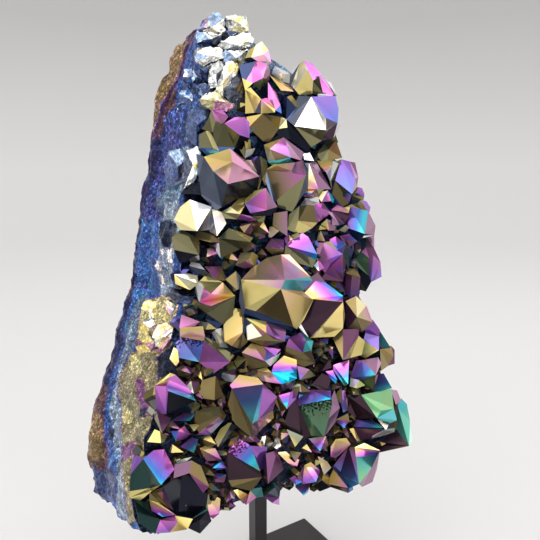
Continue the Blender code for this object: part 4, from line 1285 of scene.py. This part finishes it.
def films_by_facing(points, faces, painted_shade, rng):
    """Film and face coordinates at the corners of many small faces, darkened as painted shade and
    chosen by facing as painted light.
    """
    film, flat_map = [], []
    first, second, third = (points[[face[n] for face in faces]] for n in range(3))
    normals = np.cross(second - first, third - first)
    normals /= np.linalg.norm(normals, axis=1, keepdims=True) + 1e-12
    films = painted_light_films(normals, rng)
    # Painted shade: each face's brightness is cut to its crystal's share.
    films[..., 1] *= painted_shade[:, None]
    low = (painted_shade < OPEN_PAINTED_SHADE) & (first[:, 2] > BLUE_ABOVE)
    films[low, :, 0] = films[low, :, 0] * BLUE_SPREAD + BLUE_ORDER
    films[low, :, 1] *= BLUE_GAIN
    for face, (start, end) in zip(faces, films):
        colours, flat = run_of_film(points[face], start, end)
        film.append(colours)
        flat_map.append(flat)
    return np.vstack(film), np.vstack(flat_map)


def bed_points():
    """Jittered rows of short points over the front of the slab, and more round its right edge."""
    rng = np.random.default_rng(11)
    low, high = SLAB_SECTIONS[0, 0] + BED_INSET[0], SLAB_SECTIONS[-1, 0] - BED_INSET[1]
    x, z = np.meshgrid(np.arange(*BED_SPAN, BED_STEP), np.arange(low, high, BED_STEP))
    x = x.ravel() + rng.uniform(-BED_JITTER, BED_JITTER, x.size) * BED_STEP
    z = z.ravel() + rng.uniform(-BED_JITTER, BED_JITTER, z.size) * BED_STEP
    front_left, _, front_right, _, front, _ = section_at(z)
    inside = (x > front_left - 1 * MM) & (x < front_right + 1 * MM)
    inside &= ~inside_outline(*sheet_places(np.stack((x, front, z), -1)),
                              sheet_corners(BROKEN_GROUND.split()))
    x, z, front = x[inside], z[inside], front[inside]
    y = front + rng.uniform(-1.0, 3.5, len(x)) * MM
    clear = open_ground(np.stack((x, y, z), -1))
    y[clear] -= OPEN_RISE
    axis = np.stack((rng.normal(0, BED_LEAN, len(x)), -np.ones(len(x)),
                     rng.normal(0, BED_LEAN, len(x))), -1)
    front_points = np.stack((x, y, z), -1)
    height = rng.uniform(*FAR_EDGE_HEIGHTS, FAR_EDGE_COUNT)
    _, _, front_right, back_right, front, back = section_at(height)
    share = rng.uniform(0.0, FAR_EDGE_SHARE, FAR_EDGE_COUNT)
    side_points = np.stack((front_right + (back_right - front_right) * share + 2 * MM,
                            front + (back - front) * share, height), -1)
    side_axis = np.stack((np.ones(FAR_EDGE_COUNT), rng.uniform(-0.9, 0.1, FAR_EDGE_COUNT),
                          rng.normal(0, 0.35, FAR_EDGE_COUNT)), -1)
    shoulder = np.vstack((front_points, side_points))
    axis = np.vstack((axis, side_axis))
    axis /= np.linalg.norm(axis, axis=1, keepdims=True)
    radius = rng.uniform(*BED_RADIUS, len(shoulder))
    radius[len(front_points):] *= FAR_EDGE_GROWTH
    root = np.full(len(shoulder), BED_ROOT)
    points, faces = six_sided(shoulder, axis, radius, root, rng)
    painted_shade = np.full(len(shoulder), BED_PAINTED_SHADE)
    painted_shade[:len(clear)][clear] = OPEN_PAINTED_SHADE
    painted_shade[len(clear):] = OPEN_PAINTED_SHADE
    per_face = np.concatenate((np.repeat(painted_shade, 6), np.repeat(painted_shade, 6), painted_shade))
    return points, faces, *films_by_facing(points, faces, per_face, rng)


crystal_piece("bed_crystals", bed_points(), coated_face)


# ---------------------------------------------------------------------------------------
# Studio: a pale sweep of paper in a tent of uneven soft light, which the crystal faces
# mirror, with a wide panel high on the left, one overhead and a weak one on the right.
# ---------------------------------------------------------------------------------------
# The floor's radius, the radius of the bend beyond it and the wall's height, in metres.
SWEEP_RADIUS, SWEEP_RISE, WALL_RISE = 1.6, 1.6, 0.9
SWEEP_RINGS, SWEEP_SIDES = 24, 64
FLOOR_SHARE, WALL_SHARE = 0.4, 0.1   # of the rings
# Painted shade: the paper runs from the near tone to the darker far one up the wall.
PAPER_NEAR = (0.575, 0.565, 0.562, 1)
PAPER_FAR = (0.425, 0.42, 0.413, 1)
STONE_MIDDLE = (-0.01, 0, 0.22)
CAMERA_SENSOR = 36                   # mm
# Name, place, size, power and colour of each panel. They all face the stone.
PANELS = (("left_panel", (-1.0, -0.6, 1.3), (1.4, 1.6), 12, (1.0, 0.98, 0.95)),
          ("top_panel", (0.05, -0.1, 1.7), (1.2, 1.2), 6, (1.0, 1.0, 1.0)),
          ("right_panel", (1.1, -0.5, 1.0), (0.6, 1.0), 3, (0.92, 0.94, 1.0)))


def pale_paper():
    """Matt paper painted greyer the higher it stands up the wall, as painted shade."""
    material, tree, shader = new_material("pale_paper", {"Roughness": 0.9})
    place = add_node(tree, "TexCoord")
    split = add_node(tree, "SeparateXYZ")
    climb = add_node(tree, "MapRange", {"From Min": 0.25, "From Max": 1.05})
    tone = add_node(tree, "Mix", {"A": PAPER_NEAR, "B": PAPER_FAR}, data_type="RGBA")
    wire(tree, (place, "Object", split, "Vector"), (split, "Z", climb, "Value"),
         (climb, "Result", tone, "Factor"), (tone, "Result", shader, "Base Color"))
    return material


def paper_sweep():
    """A round floor that curves up by a quarter circle into a straight wall, all round Z."""
    shape = SWEEP_RINGS, SWEEP_SIDES
    share = np.linspace(0, 1, SWEEP_RINGS)
    bend_share = 1 - FLOOR_SHARE - WALL_SHARE
    bend = np.clip((share - FLOOR_SHARE) / bend_share, 0, 1) * math.pi / 2
    away = np.where(share < FLOOR_SHARE, share / FLOOR_SHARE * SWEEP_RADIUS,
                    SWEEP_RADIUS + SWEEP_RISE * np.sin(bend))
    wall = np.clip((share - 1 + WALL_SHARE) / WALL_SHARE, 0, 1)
    rise = SWEEP_RISE * (1 - np.cos(bend)) + WALL_RISE * wall
    turn = np.arange(SWEEP_SIDES) * 2 * math.pi / SWEEP_SIDES
    points = np.stack((away[:, None] * np.cos(turn), away[:, None] * np.sin(turn),
                       np.broadcast_to(rise[:, None], shape)), -1)
    here = np.arange(SWEEP_RINGS * SWEEP_SIDES).reshape(shape)
    beside = np.roll(here, -1, 1)
    quads = np.stack((here[:-1], here[1:], beside[1:], beside[:-1]), -1).reshape(-1, 4)
    mesh = bpy.data.meshes.new("paper_sweep")
    mesh.from_pydata(points.reshape(-1, 3).tolist(), [], quads.tolist())
    mesh.shade_smooth()
    mesh.materials.append(pale_paper())
    sweep = bpy.data.objects.new("paper_sweep", mesh)
    bpy.context.scene.collection.objects.link(sweep)
    sweep.visible_glossy = False
    sweep.visible_shadow = False


def panel(name, place, size, power, colour):
    """A soft box of the given size that faces the stone."""
    light = bpy.data.lights.new(name, "AREA")
    light.shape = "RECTANGLE"
    light.size, light.size_y = size
    light.energy = power
    light.color = colour
    lamp = bpy.data.objects.new(name, light)
    lamp.location = place
    lamp.rotation_mode = "QUATERNION"
    lamp.rotation_quaternion = (Vector(STONE_MIDDLE) - Vector(place)).to_track_quat("-Z", "Y")
    bpy.context.scene.collection.objects.link(lamp)


def light_tent():
    """Soft light from all round, uneven in wide blotches as a room is."""
    world = bpy.data.worlds.new("light_tent")
    bpy.context.scene.world = world
    world.use_nodes = True
    tree = world.node_tree
    light = tree.nodes["Background"]
    light.inputs["Color"].default_value = (1, 1, 1, 1)
    way = add_node(tree, "TexCoord")
    blotch = add_node(tree, "TexNoise", {"Scale": 2.6, "Detail": 1})
    level = add_node(tree, "MapRange", {"From Min": 0.35, "From Max": 0.65,
                                        "To Min": 0.57, "To Max": 2.14})
    wire(tree, (way, "Generated", blotch, "Vector"), (blotch, "Fac", level, "Value"),
         (level, "Result", light, "Strength"))


def sheet_camera():
    """A camera at the layout sheet's eye point, whose frame is the sheet."""
    camera = bpy.data.cameras.new("camera")
    camera.sensor_width = CAMERA_SENSOR
    camera.lens = CAMERA_SENSOR * SHEET_REACH / SHEET_SIDE
    camera.clip_start = 0.01
    holder = bpy.data.objects.new("camera", camera)
    turn = Matrix((RIGHT, UP, -FORWARD)).transposed().to_4x4()
    holder.matrix_world = Matrix.Translation(SHEET_EYE) @ turn
    bpy.context.scene.collection.objects.link(holder)
    bpy.context.scene.camera = holder


bpy.context.scene.view_settings.view_transform = "Standard"
paper_sweep()
light_tent()
for row in PANELS:
    panel(*row)
sheet_camera()
